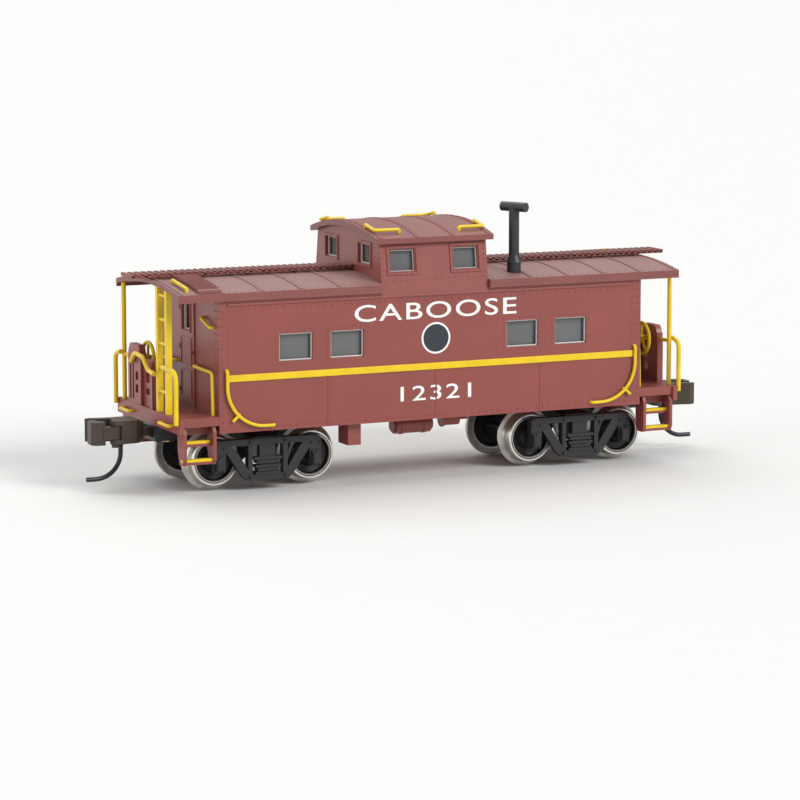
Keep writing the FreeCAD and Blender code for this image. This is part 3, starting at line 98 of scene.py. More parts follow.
SUNK = 0.1 * MM  # how deep raised strips are set into the walls
STRIP_SEGMENTS = 16
SHARP_ANGLE = 0.6  # in radians; only edges sharper than this are bevelled
WINDOW_RIVET_PITCH = 0.62 * MM
TREAD_PITCH = 0.42 * MM
EYE = Vector((-152.40, -326.36, 60.71)) * MM
AIM = Vector((-0.08, 0.0, 7.53)) * MM
LENS = 149.12
SKY_STRENGTH = 0.42
LAMPS = (  # name, direction that the light comes from, angle in degrees, strength
    ("key", (0.45, -0.75, 0.60), 28.0, 2.3),
    ("top", (0.10, 0.35, 1.00), 60.0, 1.5),
    ("back", (-0.30, 0.80, 0.45), 60.0, 0.8),
    ("left", (-1.00, -0.10, 0.30), 50.0, 0.9),
)


def roof_height(across):
    """Upper surface of the roof at a distance from the centre line."""
    return EAVE + EAVE_DEPTH + ROOF_RISE * (1 - (across / ROOF_HALF) ** 2)


def cap_height(across):
    """Upper surface of the cupola roof at a distance from the centre line."""
    return CAP_EDGE + CAP_RISE * (1 - (across / CAP_HALF) ** 2)


def cupola_side(height):
    """How far a cupola side stands from the centre line at a height."""
    return SIDE - CUPOLA_LEAN * (height - CUPOLA_LOW.z)


def slope(across):
    """How far the roof's normal leans at a distance from the centre line."""
    return 2 * ROOF_RISE * across / ROOF_HALF ** 2


# ------------------------------------------------------------------ shader expressions

class Wire:
    """A shader socket that can stand in a sum."""

    def __init__(self, finish, socket):
        self.finish = finish
        self.socket = socket

    def maths(self, operation, *values):
        inputs = dict(enumerate((self,) + values))
        return self.finish.node("ShaderNodeMath", {"operation": operation}, inputs)

    def __add__(self, other):
        return self.maths("ADD", other)

    def __sub__(self, other):
        return self.maths("SUBTRACT", other)

    def __rsub__(self, other):
        return self.finish.node("ShaderNodeMath", {"operation": "SUBTRACT"}, {0: other, 1: self})

    def __mul__(self, other):
        return self.maths("MULTIPLY", other)

    def __truediv__(self, other):
        return self.maths("DIVIDE", other)

    def __pow__(self, other):
        return self.maths("POWER", other)

    def __abs__(self):
        return self.maths("ABSOLUTE")

    def least(self, other):
        return self.maths("MINIMUM", other)

    def most(self, other):
        return self.maths("MAXIMUM", other)

    def above(self, level, soft):
        """0 below a level and 1 above it, with a soft edge."""
        ramp = (self - (level - soft / 2)) / soft
        return ramp.most(0).least(1)

    def between(self, low, high, soft):
        return self.above(low, soft) * (1 - self.above(high, soft))


class Finish:
    """A node material with a Principled shader, built up by small calls."""

    def __init__(self, name, base, **constants):
        self.material = bpy.data.materials.new(name)
        self.material.use_nodes = True
        self.tree = self.material.node_tree
        self.shader = self.tree.nodes["Principled BSDF"]
        self.set("Base Color", (*base, 1.0))
        for key, value in constants.items():
            self.set(key.replace("_", " "), value)

    def set(self, socket, value):
        self.shader.inputs[socket].default_value = value

    def feed(self, socket, wire):
        self.tree.links.new(wire.socket, self.shader.inputs[socket])

    def node(self, kind, settings=None, values=None, output=0):
        """One node: its settings first, then the values or links of its sockets."""
        made = self.tree.nodes.new(kind)
        for key, value in (settings or {}).items():
            setattr(made, key, value)
        for key, value in (values or {}).items():
            if isinstance(value, Wire):
                self.tree.links.new(value.socket, made.inputs[key])
            else:
                made.inputs[key].default_value = value
        return Wire(self, made.outputs[output])

    def parts(self, vector):
        """The three numbers of a vector."""
        split = self.node("ShaderNodeSeparateXYZ", values={0: vector})
        return [Wire(self, split.socket.node.outputs[axis]) for axis in "XYZ"]

    def place(self):
        """Object coordinates as three numbers, in metres."""
        return self.parts(self.node("ShaderNodeTexCoord", output="Object"))

    def noise(self, scale, detail=3.0, stretch=(1, 1, 1)):
        point = self.node("ShaderNodeTexCoord", output="Object")
        placed = self.node("ShaderNodeMapping", values={"Vector": point, "Scale": stretch})
        values = {"Vector": placed, "Scale": scale, "Detail": detail}
        return self.node("ShaderNodeTexNoise", values=values)

    def mix(self, share, first, second):
        """Two colours mixed by a share."""
        return self.node("ShaderNodeMix", {"data_type": "RGBA"}, {0: share, 6: first, 7: second}, output=2)

    def bump(self, height, distance, strength=1.0):
        values = {"Height": height, "Distance": distance, "Strength": strength}
        self.feed("Normal", self.node("ShaderNodeBump", values=values))


def shade(colour, factor):
    """The same colour lighter or darker."""
    return tuple(min(1.0, part * factor) for part in colour[:3]) + (1.0,)


def facing_up(finish):
    """1 on faces that look up and 0 on the rest."""
    normal = finish.node("ShaderNodeTexCoord", output="Normal")
    return finish.parts(normal)[2].above(0.75, 0.3)


def paint(name, colour, roughness=0.42, dust_and_sheen=0.0, dust_and_sheen_colour=(0.31, 0.235, 0.22, 1.0)):
    """Sprayed model paint: a faint mottle, a fine grain, and a lighter tone on what faces up, partly dust
    and partly painted sheen.
    """
    finish = Finish(name, colour, Roughness=roughness, Coat_Weight=0.12, Coat_Roughness=0.3)
    mottle = finish.noise(260.0, 4.0)
    wide = finish.noise(45.0, 2.0)
    share = (mottle * 0.6 + wide * 0.4).above(0.5, 0.5)
    tone = finish.mix(share, shade(colour, 0.9), shade(colour, 1.1))
    if dust_and_sheen:
        # Faces that look up get a lighter greyish-pink tone: partly dust, partly a painted sheen that stands
        # in for glare on the roofs.
        patches = wide.above(0.5, 0.9) * 0.4 + 0.6
        tone = finish.mix(facing_up(finish) * patches * dust_and_sheen, tone, dust_and_sheen_colour)
    finish.tone = tone
    finish.feed("Base Color", tone)
    finish.feed("Roughness", mottle * 0.16 + (roughness - 0.08))
    finish.bump(finish.noise(2600.0, 2.0), 0.00002, 0.5)
    return finish


def body_paint(name, paints, size):
    """Body paint with a plain round emblem on both sides."""
    finish = paint(name, paints.body)
    x, y, z = finish.place()
    on_side = abs(y).above(SIDE - 0.05 * MM, 0.02 * MM)
    crisp = 0.03 * MM
    ring = 0.2 * MM
    up = z - size.emblem_height
    radius = (x * x + up * up) ** 0.5
    disc = (1 - radius.above(size.emblem_radius, crisp)) * on_side
    tone = finish.mix(disc, finish.tone, (*paints.lettering, 1.0))
    field = (1 - radius.above(size.emblem_radius - ring, crisp)) * on_side
    tone = finish.mix(field, tone, (0.015, 0.02, 0.03, 1.0))
    finish.feed("Base Color", tone)


def railing_paint(name, colour):
    """Yellow paint on thin wire, a little thinner and darker in places."""
    finish = Finish(name, colour, Roughness=0.38, Coat_Weight=0.08, Coat_Roughness=0.2,
                    Specular_IOR_Level=0.3)
    mottle = finish.noise(700.0, 3.0)
    tone = finish.mix(mottle.above(0.5, 0.5), (*colour, 1.0), shade(colour, 0.86))
    worn = finish.noise(1500.0, 5.0).above(0.74, 0.06) * 0.5
    finish.feed("Base Color", finish.mix(worn, tone, (0.42, 0.26, 0.06, 1.0)))
    finish.feed("Roughness", mottle * 0.18 + 0.28)
    finish.bump(mottle, 0.00002, 0.5)


def wheel_metal(name):
    """Blackened wheels: two bright rings on each rim's face, and a worn tread and flange."""
    finish = Finish(name, (0.05, 0.05, 0.052), Metallic=0.85, Roughness=0.42)
    x, y, z = finish.place()
    along = abs(abs(x) - TRUCK_AT) - HALF_WHEELBASE
    up = z - AXLE_HEIGHT
    radius = (along * along + up * up) ** 0.5
    soft = 0.05 * MM
    on_face = abs(y).above(WHEEL_FACE - 0.2 * MM, soft)
    inner_ring = radius.between(2.06 * MM, 2.26 * MM, soft) * on_face
    rings = radius.above(2.4 * MM, soft) + inner_ring
    tread = (1 - on_face) * radius.above(2.55 * MM, soft)
    grain = finish.noise(900.0, 4.0)
    tone = finish.mix(rings.least(1), (0.04, 0.04, 0.042, 1.0), (0.84, 0.81, 0.76, 1.0))
    tone = finish.mix(tread * 0.6, tone, (0.42, 0.40, 0.37, 1.0))
    tone = finish.mix(grain.above(0.62, 0.2) * 0.3, tone, (0.12, 0.085, 0.06, 1.0))
    finish.feed("Base Color", tone)
    finish.feed("Roughness", 0.46 - rings.least(1) * 0.2 + grain * 0.1)
    finish.bump((radius * 26000.0).maths("SINE") * rings * 0.3 + grain, 0.00002, 0.4)


def moulded(name, colour, roughness=0.55, dust_and_sheen=0.2):
    """Matt moulded plastic with a grain from the tool, and a lighter tone on what faces up, partly dust and
    partly painted sheen.
    """
    finish = paint(name, colour, roughness, dust_and_sheen, (0.16, 0.15, 0.14, 1.0))
    finish.set("Coat Weight", 0.0)


def bare_metal(name, colour, roughness=0.3, brushed=(1, 1, 1)):
    """Turned or drawn metal with fine marks along one direction."""
    finish = Finish(name, colour, Metallic=1.0, Roughness=roughness)
    marks = finish.noise(1500.0, 4.0, brushed)
    tone = finish.mix(marks.above(0.5, 0.6), shade(colour, 0.8), shade(colour, 1.15))
    finish.feed("Base Color", tone)
    finish.feed("Roughness", marks * 0.2 + (roughness - 0.1))
    finish.bump(marks, 0.00001, 0.5)


def clear_pane(name):
    """Thin glazing drawn as a dark grey, mostly opaque sheet: painted shade for the dark inside of the car
    over a faint grey cast.
    """
    finish = Finish(name, (0.2, 0.205, 0.21), Roughness=0.08, Alpha=0.82, IOR=1.45)
    wave = finish.noise(120.0, 1.0)
    # The two dark greys are painted shade for the inside of the car seen through the windows.
    finish.feed("Base Color", finish.mix(wave, (0.12, 0.125, 0.13, 1.0), (0.19, 0.195, 0.20, 1.0)))
    finish.bump(wave, 0.00002, 0.3)


def stage_floor(name, colour):
    """Plain pale floor with a barely visible grain."""
    finish = Finish(name, colour, Roughness=0.75)
    grain = finish.noise(300.0, 2.0)
    finish.feed("Base Color", finish.mix(grain, shade(colour, 0.99), shade(colour, 1.01)))


# ------------------------------------------------------------------ sizes and colours that a user may change

def length(name, description, millimetres):
    return FloatProperty(name=name, description=description, default=millimetres * MM, min=0.0,
                         unit="LENGTH")


def colour(name, description, *default):
    return FloatVectorProperty(name=name, description=description, subtype="COLOR", size=3, min=0, max=1,
                               default=default)


class CabooseColours(bpy.types.PropertyGroup):
    body: colour("Body", "Paint of the walls, cupola, platforms and steps", 0.245, 0.054, 0.043)
    roof: colour("Roof", "Paint of both roofs and the walkways", 0.205, 0.058, 0.050)
    rail: colour("Railings", "Paint of rails, ladders, grab irons, nosings and the belt stripe",
                 0.80, 0.56, 0.012)
    black: colour("Black fittings", "Smoke jack, coupler boxes and brake gear", 0.022, 0.023, 0.026)
    truck: colour("Trucks", "Moulded truck frames", 0.017, 0.018, 0.020)
    coupler: colour("Couplers", "Coupler heads and knuckles", 0.045, 0.030, 0.020)
    frame: colour("Window frames", "Sash round each pane", 0.62, 0.60, 0.58)
    lettering: colour("Lettering", "Printed letters and the emblem's ring", 0.86, 0.85, 0.82)
    floor: colour("Floor", "The pale floor under the model", 0.66, 0.66, 0.65)


class CabooseSizes(bpy.types.PropertyGroup):
    rivet: length("Rivet radius", "Radius of each rivet head", 0.11)
    rivet_pitch: length("Rivet pitch", "Distance between rivets in a row", 0.78)
    small_rivet: length("Small rivet radius", "Rivets round the windows, along seams and on roofs", 0.09)
    seam_width: length("Roof seam", "Width of the raised seams across the roof", 0.26)
    seam_spacing: length("Roof seam spacing", "Distance between the roof's seams", 4.9)
    slat_pitch: length("Walkway bar pitch", "Distance between the bars of the walkways", 0.74)
    sash: length("Sash width", "Width of the sash round each window", 0.2)
    belt_low: length("Belt stripe, lower edge", "Height of the stripe's lower edge", 12.08)
    belt_high: length("Belt stripe, upper edge", "Height of the stripe's upper edge", 12.8)
    belt_end: length("Belt stripe, half length", "Half the length of the stripe", 24.0)
    emblem_height: length("Emblem height", "Height of the emblem's centre", 15.45)
    emblem_radius: length("Emblem radius", "Radius of the round emblem", 1.7)


# ------------------------------------------------------------------ mesh building

def block(bm, low, high):
    """A box between two corners, in metres."""
    low, high = Vector(low), Vector(high)
    matrix = Matrix.Translation((low + high) / 2) @ Matrix.Diagonal((*(high - low), 1.0))
    bmesh.ops.create_cube(bm, size=1.0, matrix=matrix)


def strip_on_wall(bm, start, stop, hand, proud):
    """A raised strip on a side wall, between two places along and up it."""
    near, far = sorted((hand * (SIDE - SUNK), hand * (SIDE + proud)))
    block(bm, (start[0], near, start[1]), (stop[0], far, stop[1]))


def towards(normal):
    """A turn that takes +Z to a direction."""
    return Vector(normal).to_track_quat("Z", "Y").to_matrix().to_4x4()


def rivet_head():
    """The mesh of one rivet head, a flattened ball, made once."""
    head = bpy.data.meshes.get("rivet_head")
    if head is None:
        bm = bmesh.new()
        bmesh.ops.create_uvsphere(bm, u_segments=8, v_segments=4, radius=1.0)
        bmesh.ops.scale(bm, vec=(1.0, 1.0, 0.62), verts=bm.verts)
        head = bpy.data.meshes.new("rivet_head")
        bm.to_mesh(head)
        bm.free()
    return head


def dome(bm, centre, normal, radius):
    """A rivet head half sunk in a surface."""
    head = rivet_head().copy()
    head.transform(Matrix.Translation(centre) @ towards(normal) @ Matrix.Scale(radius, 4))
    bm.from_mesh(head)
    bpy.data.meshes.remove(head)


def row(start, stop, pitch):
    """Evenly spaced places from start to stop."""
    start, stop = Vector(start), Vector(stop)
    count = max(1, round((stop - start).length / pitch))
    return [start.lerp(stop, number / count) for number in range(count + 1)]


def rivet_row(bm, start, stop, normal, radius, pitch):
    for place in row(start, stop, pitch):
        dome(bm, place, normal, radius)


def bolt(bm, centre, normal, radius, height):
    """A six-sided bolt head."""
    matrix = Matrix.Translation(Vector(centre)) @ towards(normal)
    bmesh.ops.create_cone(bm, cap_ends=True, segments=6, radius1=radius, radius2=radius * 0.86, depth=height,
                          matrix=matrix)


def ring_of_walls(bm, low, high, axis, width, depth):
    """A rectangular frame in a plane across one axis, built from an outline that is inset and extruded."""
    first, second = [number for number in range(3) if number != axis]
    outline = []
    for along, up in ((0, 0), (1, 0), (1, 1), (0, 1)):
        corner = [0.0, 0.0, 0.0]
        corner[axis] = low[axis]
        corner[first] = high[first] if along else low[first]
        corner[second] = high[second] if up else low[second]
        outline.append(bm.verts.new(corner))
    face = bm.faces.new(outline)
    face.normal_update()
    made = bmesh.ops.inset_individual(bm, faces=[face], thickness=width)
    bmesh.ops.delete(bm, geom=[face], context="FACES")
    solid = bmesh.ops.extrude_face_region(bm, geom=made["faces"])
    shift = Vector((0, 0, 0))
    shift[axis] = depth
    moved = [item for item in solid["geom"] if isinstance(item, bmesh.types.BMVert)]
    bmesh.ops.translate(bm, verts=moved, vec=shift)


def arched_strip(bm, place, width, reach, height, thick):
    """A thin strip that follows an arched roof from edge to edge."""
    strip = bmesh.new()
    block(strip, (place - width / 2, -reach, -thick), (place + width / 2, reach, thick))
    lengthwise = [edge for edge in strip.edges if abs(edge.verts[0].co.y - edge.verts[1].co.y) > reach]
    bmesh.ops.subdivide_edges(strip, edges=lengthwise, cuts=STRIP_SEGMENTS - 1, use_grid_fill=True)
    for vert in strip.verts:
        vert.co.z += height(vert.co.y)
    join(bm, strip)


def join(bm, part, matrix=Matrix()):
    """Move a part into place and join it to a larger mesh."""
    bmesh.ops.transform(part, matrix=matrix, verts=part.verts)
    mesh = bpy.data.meshes.new("part")
    part.to_mesh(mesh)
    part.free()
    bm.from_mesh(mesh)
    bpy.data.meshes.remove(mesh)


def frame_rivets(bm, low, high, inset, out, normal, radius):
    """Rivets round a rectangular frame."""
    left, right = low[0] + inset, high[0] - inset
    bottom, top = low[2] + inset, high[2] - inset
    places = row((left, out, bottom), (right, out, bottom), WINDOW_RIVET_PITCH)
    places += row((left, out, top), (right, out, top), WINDOW_RIVET_PITCH)
    places += row((left, out, bottom), (left, out, top), WINDOW_RIVET_PITCH)[1:-1]
    places += row((right, out, bottom), (right, out, top), WINDOW_RIVET_PITCH)[1:-1]
    for place in places:
        dome(bm, place, normal, radius)


def finished(bm, name, material, body=CAR, smooth=False, bevel=0.0, segments=2):
    """Turn a bmesh into a piece that rides on a body."""
    bmesh.ops.recalc_face_normals(bm, faces=bm.faces)
    if bevel:
        sharp = [edge for edge in bm.edges
                 if len(edge.link_faces) == 2 and edge.calc_face_angle(0.0) > SHARP_ANGLE]
        bmesh.ops.bevel(bm, geom=sharp, offset=bevel, segments=segments, profile=0.5, affect="EDGES",
                        material=-1)
    for face in bm.faces:
        face.smooth = smooth
    mesh = bpy.data.meshes.new(name)
    bm.to_mesh(mesh)
    bm.free()
    mesh.materials.append(bpy.data.materials[material])
    piece = bpy.data.objects.new(name, mesh)
    bpy.context.scene.collection.objects.link(piece)
    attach(piece, body)
    return piece


def sizes():
    return bpy.context.scene.caboose_sizes


def colours():
    return bpy.context.scene.caboose_colours


# ------------------------------------------------------------------ operators: finishes

FINISH_OF_SLOT = {
    "body_red": "Body paint", "roof_red": "Roof paint", "rail_yellow": "Railing paint",
    "black_plastic": "Black fittings", "truck_grey": "Truck plastic", "wheel_metal": "Wheel metal",
    "axle_steel": "Axle steel", "coupler_brown": "Coupler metal", "trip_steel": "Trip wire",
    "screw_brass": "Screw brass", "spring_bronze": "Spring bronze", "ballast_steel": "Ballast steel",
    "window_clear": "Clear pane",
}
FINISH_OF_NODE = {"body_shell": "Body paint with emblem", "cupola_roof": "Cupola roof paint"}


class CABOOSE_OT_finishes(bpy.types.Operator):
    """Make every finish and give it to the frame's nodes"""
    bl_idname = "caboose.finishes"
    bl_label = "Finishes"

    def execute(self, context):
        paints = colours()
        body_paint("Body paint with emblem", paints, sizes())
        paint("Body paint", paints.body)
        # The last number sets the lighter tone on upward faces, partly dust and partly painted sheen,
        # strongest on the roof.
        paint("Roof paint", paints.roof, 0.5, 0.5)
        paint("Cupola roof paint", paints.roof, 0.5, 0.2)
        paint("Walkway paint", paints.roof, 0.5, 0.2)
        railing_paint("Railing paint", paints.rail)
        moulded("Black fittings", paints.black, 0.42, 0.2)
        moulded("Truck plastic", paints.truck)
        moulded("Coupler metal", paints.coupler, 0.48, 0.3)
        wheel_metal("Wheel metal")
        bare_metal("Axle steel", (0.5, 0.5, 0.5), 0.28, (1, 0.05, 1))
        bare_metal("Trip wire", (0.05, 0.05, 0.055), 0.38)
        bare_metal("Screw brass", (0.6, 0.45, 0.2), 0.3)
        bare_metal("Spring bronze", (0.6, 0.42, 0.22), 0.3)
        bare_metal("Ballast steel", (0.33, 0.33, 0.33), 0.5)
        clear_pane("Clear pane")
        paint("Sash paint", paints.frame, 0.5)
        paint("Printed ink", paints.lettering, 0.5)
        stage_floor("Pale floor", paints.floor)
        slots = {part["node"]: part["material_slot"] for part in frame["record"]["subparts"]}
        for name, node in frame["nodes"].items():
            finish = FINISH_OF_NODE.get(name, FINISH_OF_SLOT[slots[name]])
            node.data.materials.clear()
            node.data.materials.append(bpy.data.materials[finish])
        return {"FINISHED"}


# ------------------------------------------------------------------ operators: body

class CABOOSE_OT_body_rivets(bpy.types.Operator):
    """Rivet rows on the side and end walls and round the side windows"""
    bl_idname = "caboose.body_rivets"
    bl_label = "Body rivets"

    def execute(self, context):
        size = sizes()
        bm = bmesh.new()
        low, high = BODY_LOW.z + 0.45 * MM, EAVE - 0.3 * MM
        long_row_end = WALL_END - 1.8 * MM
        outside_window = -0.34 * MM
        for hand in (-1, 1):
            out = (0, hand, 0)
            side = SIDE * hand
            for end in (-1, 1):
                for inset in (0.35 * MM, 1.05 * MM):
                    across = end * (WALL_END - inset)
                    rivet_row(bm, (across, side, low), (across, side, high), out, size.rivet,
                              size.rivet_pitch)
            for height in (EAVE - 0.95 * MM, low):
                rivet_row(bm, (-long_row_end, side, height), (long_row_end, side, height), out, size.rivet,
                          size.rivet_pitch)
            for across in SIDE_WINDOWS:
                frame_rivets(bm, (across - WINDOW_HALF, 0, WINDOW_LOW),
                             (across + WINDOW_HALF, 0, WINDOW_HIGH), outside_window, side, out,
                             size.small_rivet)
            for across in SEAMS_ON_SIDE:
                rivet_row(bm, (across, side, low + size.rivet_pitch),
                          (across, side, size.belt_low - 0.4 * MM), out, size.small_rivet, size.rivet_pitch)
        for end in (-1, 1):
            out = (end, 0, 0)
            for hand in (-1, 1):
                for inset in (0.4 * MM, 1.1 * MM):
                    across = hand * (SIDE - inset)
                    rivet_row(bm, (end * WALL_END, across, DECK + 0.6 * MM), (end * WALL_END, across, high),
                              out, size.rivet, size.rivet_pitch)
        finished(bm, "body_rivets", "Body paint", smooth=True)
        return {"FINISHED"}


class CABOOSE_OT_letterboards(bpy.types.Operator):
    """The ledge under the eaves and the panel joint strips on both sides"""
    bl_idname = "caboose.letterboards"
    bl_label = "Letterboards"

    def execute(self, context):
        bm = bmesh.new()
        ledge_end = WALL_END - 0.9 * MM
        half_joint = 0.09 * MM
        gap = 0.05 * MM
        for hand in (-1, 1):
            strip_on_wall(bm, (-ledge_end, EAVE - 0.55 * MM), (ledge_end, EAVE - 0.35 * MM), hand, 0.14 * MM)
            for across in SEAMS_ON_SIDE:
                strip_on_wall(bm, (across - half_joint, BODY_LOW.z + gap),
                              (across + half_joint, sizes().belt_low - gap), hand, 0.05 * MM)
        finished(bm, "letterboards", "Body paint", bevel=0.03 * MM)
        return {"FINISHED"}


class CABOOSE_OT_belt_rails(bpy.types.Operator):
    """The raised yellow belt rail along both sides"""
    bl_idname = "caboose.belt_rails"
    bl_label = "Belt rails"

    def execute(self, context):
        size = sizes()
        bm = bmesh.new()
        for hand in (-1, 1):
            strip_on_wall(bm, (-size.belt_end, size.belt_low), (size.belt_end, size.belt_high), hand,
                          0.16 * MM)
        finished(bm, "belt_rails", "Railing paint", bevel=0.06 * MM, segments=3)
        return {"FINISHED"}


class CABOOSE_OT_window_sashes(bpy.types.Operator):
    """A sash inside each opening of the side walls and the doors"""
    bl_idname = "caboose.window_sashes"
    bl_label = "Window sashes"

    def execute(self, context):
        width = sizes().sash
        bm = bmesh.new()
        half, low, high = DOOR_PANE
        for centre in SIDE_WINDOWS:
            for hand in (-1, 1):
                ring_of_walls(bm, (centre - WINDOW_HALF, hand * (SIDE - 0.42 * MM), WINDOW_LOW),
                              (centre + WINDOW_HALF, 0, WINDOW_HIGH), 1, width, hand * 0.2 * MM)
        for end in (-1, 1):
            ring_of_walls(bm, (end * (WALL_END - 0.3 * MM), -half, low), (0, half, high), 0, width * 0.8,
                          end * 0.25 * MM)
        finished(bm, "window_sashes", "Sash paint", bevel=0.03 * MM)
        return {"FINISHED"}


class CABOOSE_OT_doors(bpy.types.Operator):
    """Sunk panel mouldings, hinges and a handle on each end door"""
    bl_idname = "caboose.doors"
    bl_label = "Doors"

    def execute(self, context):
        bm = bmesh.new()
        face = BODY_HIGH.x
        border = 0.25 * MM
        panels = (  # half width, lower edge, upper edge, width and depth of the moulding
            (1.5 * MM, DECK + 0.9 * MM, DECK + 3.9 * MM, 0.16 * MM, 0.13 * MM),
            (1.5 * MM, DECK + 4.4 * MM, DECK + 7.4 * MM, 0.16 * MM, 0.13 * MM),
            (DOOR_PANE[0] + border, DOOR_PANE[1] - border, DOOR_PANE[2] + border, 0.22 * MM, 0.16 * MM),
        )
        half_hinge, hinge_height = 0.3 * MM, 0.5 * MM
        for end in (-1, 1):
            start = end * (face - 0.05 * MM)
            for half, low, high, width, depth in panels:
                ring_of_walls(bm, (start, -half, low), (0, half, high), 0, width, end * depth)
            near, far = sorted((end * (face - 0.1 * MM), end * (face + 0.1 * MM)))
            hinge = -end * 2.1 * MM
            for height in (DECK + 1.4 * MM, DECK + 6.0 * MM, DECK + 10.2 * MM):
                block(bm, (near, hinge - half_hinge, height),
                      (far, hinge + half_hinge, height + hinge_height))
            dome(bm, (end * (face + 0.12 * MM), end * 1.75 * MM, DECK + 5.9 * MM), (end, 0, 0), 0.24 * MM)
        finished(bm, "door_mouldings", "Body paint", bevel=0.03 * MM)
        return {"FINISHED"}


# ------------------------------------------------------------------ operators: roof and cupola

class CABOOSE_OT_roof_seams(bpy.types.Operator):
    """Raised seams across the roof, with rivets along them and along the edges"""
    bl_idname = "caboose.roof_seams"
    bl_label = "Roof seams"

    def execute(self, context):
        size = sizes()
        strips, heads = bmesh.new(), bmesh.new()
        end = ROOF_HIGH.x
        cupola = CUPOLA_HIGH.x + 0.5 * MM
        count = max(2, round((end - cupola) / size.seam_spacing))
        seams = [cupola + (end - 0.45 * MM - cupola) * number / count for number in range(1, count + 1)]
        reach = ROOF_HALF - 0.12 * MM
        last_rivet = reach - 0.3 * MM
        rivet_line = 0.32 * MM
        for place in [sign * seam for seam in seams for sign in (-1, 1)]:
            arched_strip(strips, place, size.seam_width, reach, roof_height, 0.09 * MM)
            for offset in (-rivet_line, rivet_line):
                if abs(place) + offset > end - 0.15 * MM:
                    continue
                for across in row((0, -last_rivet, 0), (0, last_rivet, 0), size.rivet_pitch):
                    dome(heads, (place + offset, across.y, roof_height(across.y)), (0, slope(across.y), 1),
                         size.small_rivet)
        on_eave = EAVE + 0.42 * MM
        for hand in (-1, 1):
            edge = hand * (ROOF_HALF - 0.02 * MM)
            inner = hand * (ROOF_HALF - 0.45 * MM)
            top = roof_height(inner)
            for side in (-1, 1):
                rivet_row(heads, (side * cupola, edge, on_eave), (side * (end - 0.3 * MM), edge, on_eave),
                          (0, hand, 0), size.small_rivet, size.rivet_pitch)
                rivet_row(heads, (side * cupola, inner, top), (side * (end - 0.4 * MM), inner, top),
                          (0, 0, 1), size.small_rivet, size.rivet_pitch)
        finished(strips, "roof_seams", "Roof paint", bevel=0.02 * MM, segments=1)
        finished(heads, "roof_rivets", "Roof paint", smooth=True)
        return {"FINISHED"}


class CABOOSE_OT_cupola_trim(bpy.types.Operator):
    """Riveted window surrounds, sashes, corner rivets and roof seams of the cupola"""
    bl_idname = "caboose.cupola_trim"
    bl_label = "Cupola trim"

    def execute(self, context):
        size = sizes()
        trim, heads, sashes = bmesh.new(), bmesh.new(), bmesh.new()
        lean = math.atan(CUPOLA_LEAN)
        border = 0.4 * MM
        end_border = border * 0.8
        sash_width = size.sash * 0.7
        close_pitch = size.rivet_pitch * 0.8
        foot = EAVE + EAVE_DEPTH + 0.35 * MM
        foot_end = CUPOLA_HIGH.x - 0.7 * MM
        low_z, high_z = EAVE + 1.2 * MM, CAP_EDGE - 0.4 * MM
        for hand in (-1, 1):
            place, half, bottom, top = CUPOLA_PANE
            for centre in (-place, place):
                low = (centre - half - border, 0, bottom - border)
                high = (centre + half + border, 0, top + border)
                pivot = Vector((0, hand * cupola_side(bottom), bottom))
                turn = Matrix.Translation(pivot) @ Matrix.Rotation(hand * lean, 4, "X")
                turn = turn @ Matrix.Translation((0, 0, -bottom))
                surround, sash, rivets = bmesh.new(), bmesh.new(), bmesh.new()
                ring_of_walls(surround, (low[0], -hand * 0.06 * MM, low[2]), high, 1, border,
                              hand * 0.18 * MM)
                ring_of_walls(sash, (centre - half, -hand * 0.45 * MM, bottom), (centre + half, 0, top), 1,
                              sash_width, hand * 0.2 * MM)
                frame_rivets(rivets, low, high, border / 2, hand * 0.12 * MM, (0, hand, 0),
                             size.small_rivet)
                for whole, part in ((trim, surround), (sashes, sash), (heads, rivets)):
                    join(whole, part, turn)
            low_side, high_side = hand * cupola_side(low_z), hand * cupola_side(high_z)
            edge = hand * 0.35 * MM
            place, half, bottom, top = CUPOLA_END_PANE
            left, right = hand * place - half, hand * place + half
            for end in (-1, 1):
                across = end * (CUPOLA_HIGH.x - 0.3 * MM)
                rivet_row(heads, (across, low_side, low_z), (across, high_side, high_z), (0, hand, 0),
                          size.small_rivet, close_pitch)
                face = end * CUPOLA_HIGH.x
                rivet_row(heads, (face, low_side - edge, low_z + 0.5 * MM),
                          (face, high_side - edge, high_z), (end, 0, 0), size.small_rivet, close_pitch)
                ring_of_walls(trim, (face - end * 0.05 * MM, left - end_border, bottom - end_border),
                              (0, right + end_border, top + end_border), 0, end_border, end * 0.17 * MM)
                ring_of_walls(sashes, (face - end * 0.42 * MM, left, bottom), (0, right, top), 0,
                              sash_width, end * 0.2 * MM)
            side = hand * cupola_side(foot)
            rivet_row(heads, (-foot_end, side, foot), (foot_end, side, foot), (0, hand, 0),
                      size.small_rivet, size.rivet_pitch)
        reach = CAP_HALF - 0.1 * MM
        last_rivet = reach - 0.3 * MM
        rivet_line = 0.3 * MM
        last_seam = CAP_HIGH.x - 0.55 * MM
        for place in (-last_seam, -2.1 * MM, 2.1 * MM, last_seam):
            arched_strip(trim, place, size.seam_width, reach, cap_height, 0.08 * MM)
            for offset in (-rivet_line, rivet_line):
                for across in row((0, -last_rivet, 0), (0, last_rivet, 0), size.rivet_pitch):
                    dome(heads, (place + offset, across.y, cap_height(across.y)), (0, 0, 1),
                         size.small_rivet)
        finished(trim, "cupola_mouldings", "Body paint", bevel=0.02 * MM, segments=1)
        finished(sashes, "cupola_sashes", "Sash paint", bevel=0.02 * MM, segments=1)
        finished(heads, "cupola_rivets", "Body paint", smooth=True)
        return {"FINISHED"}


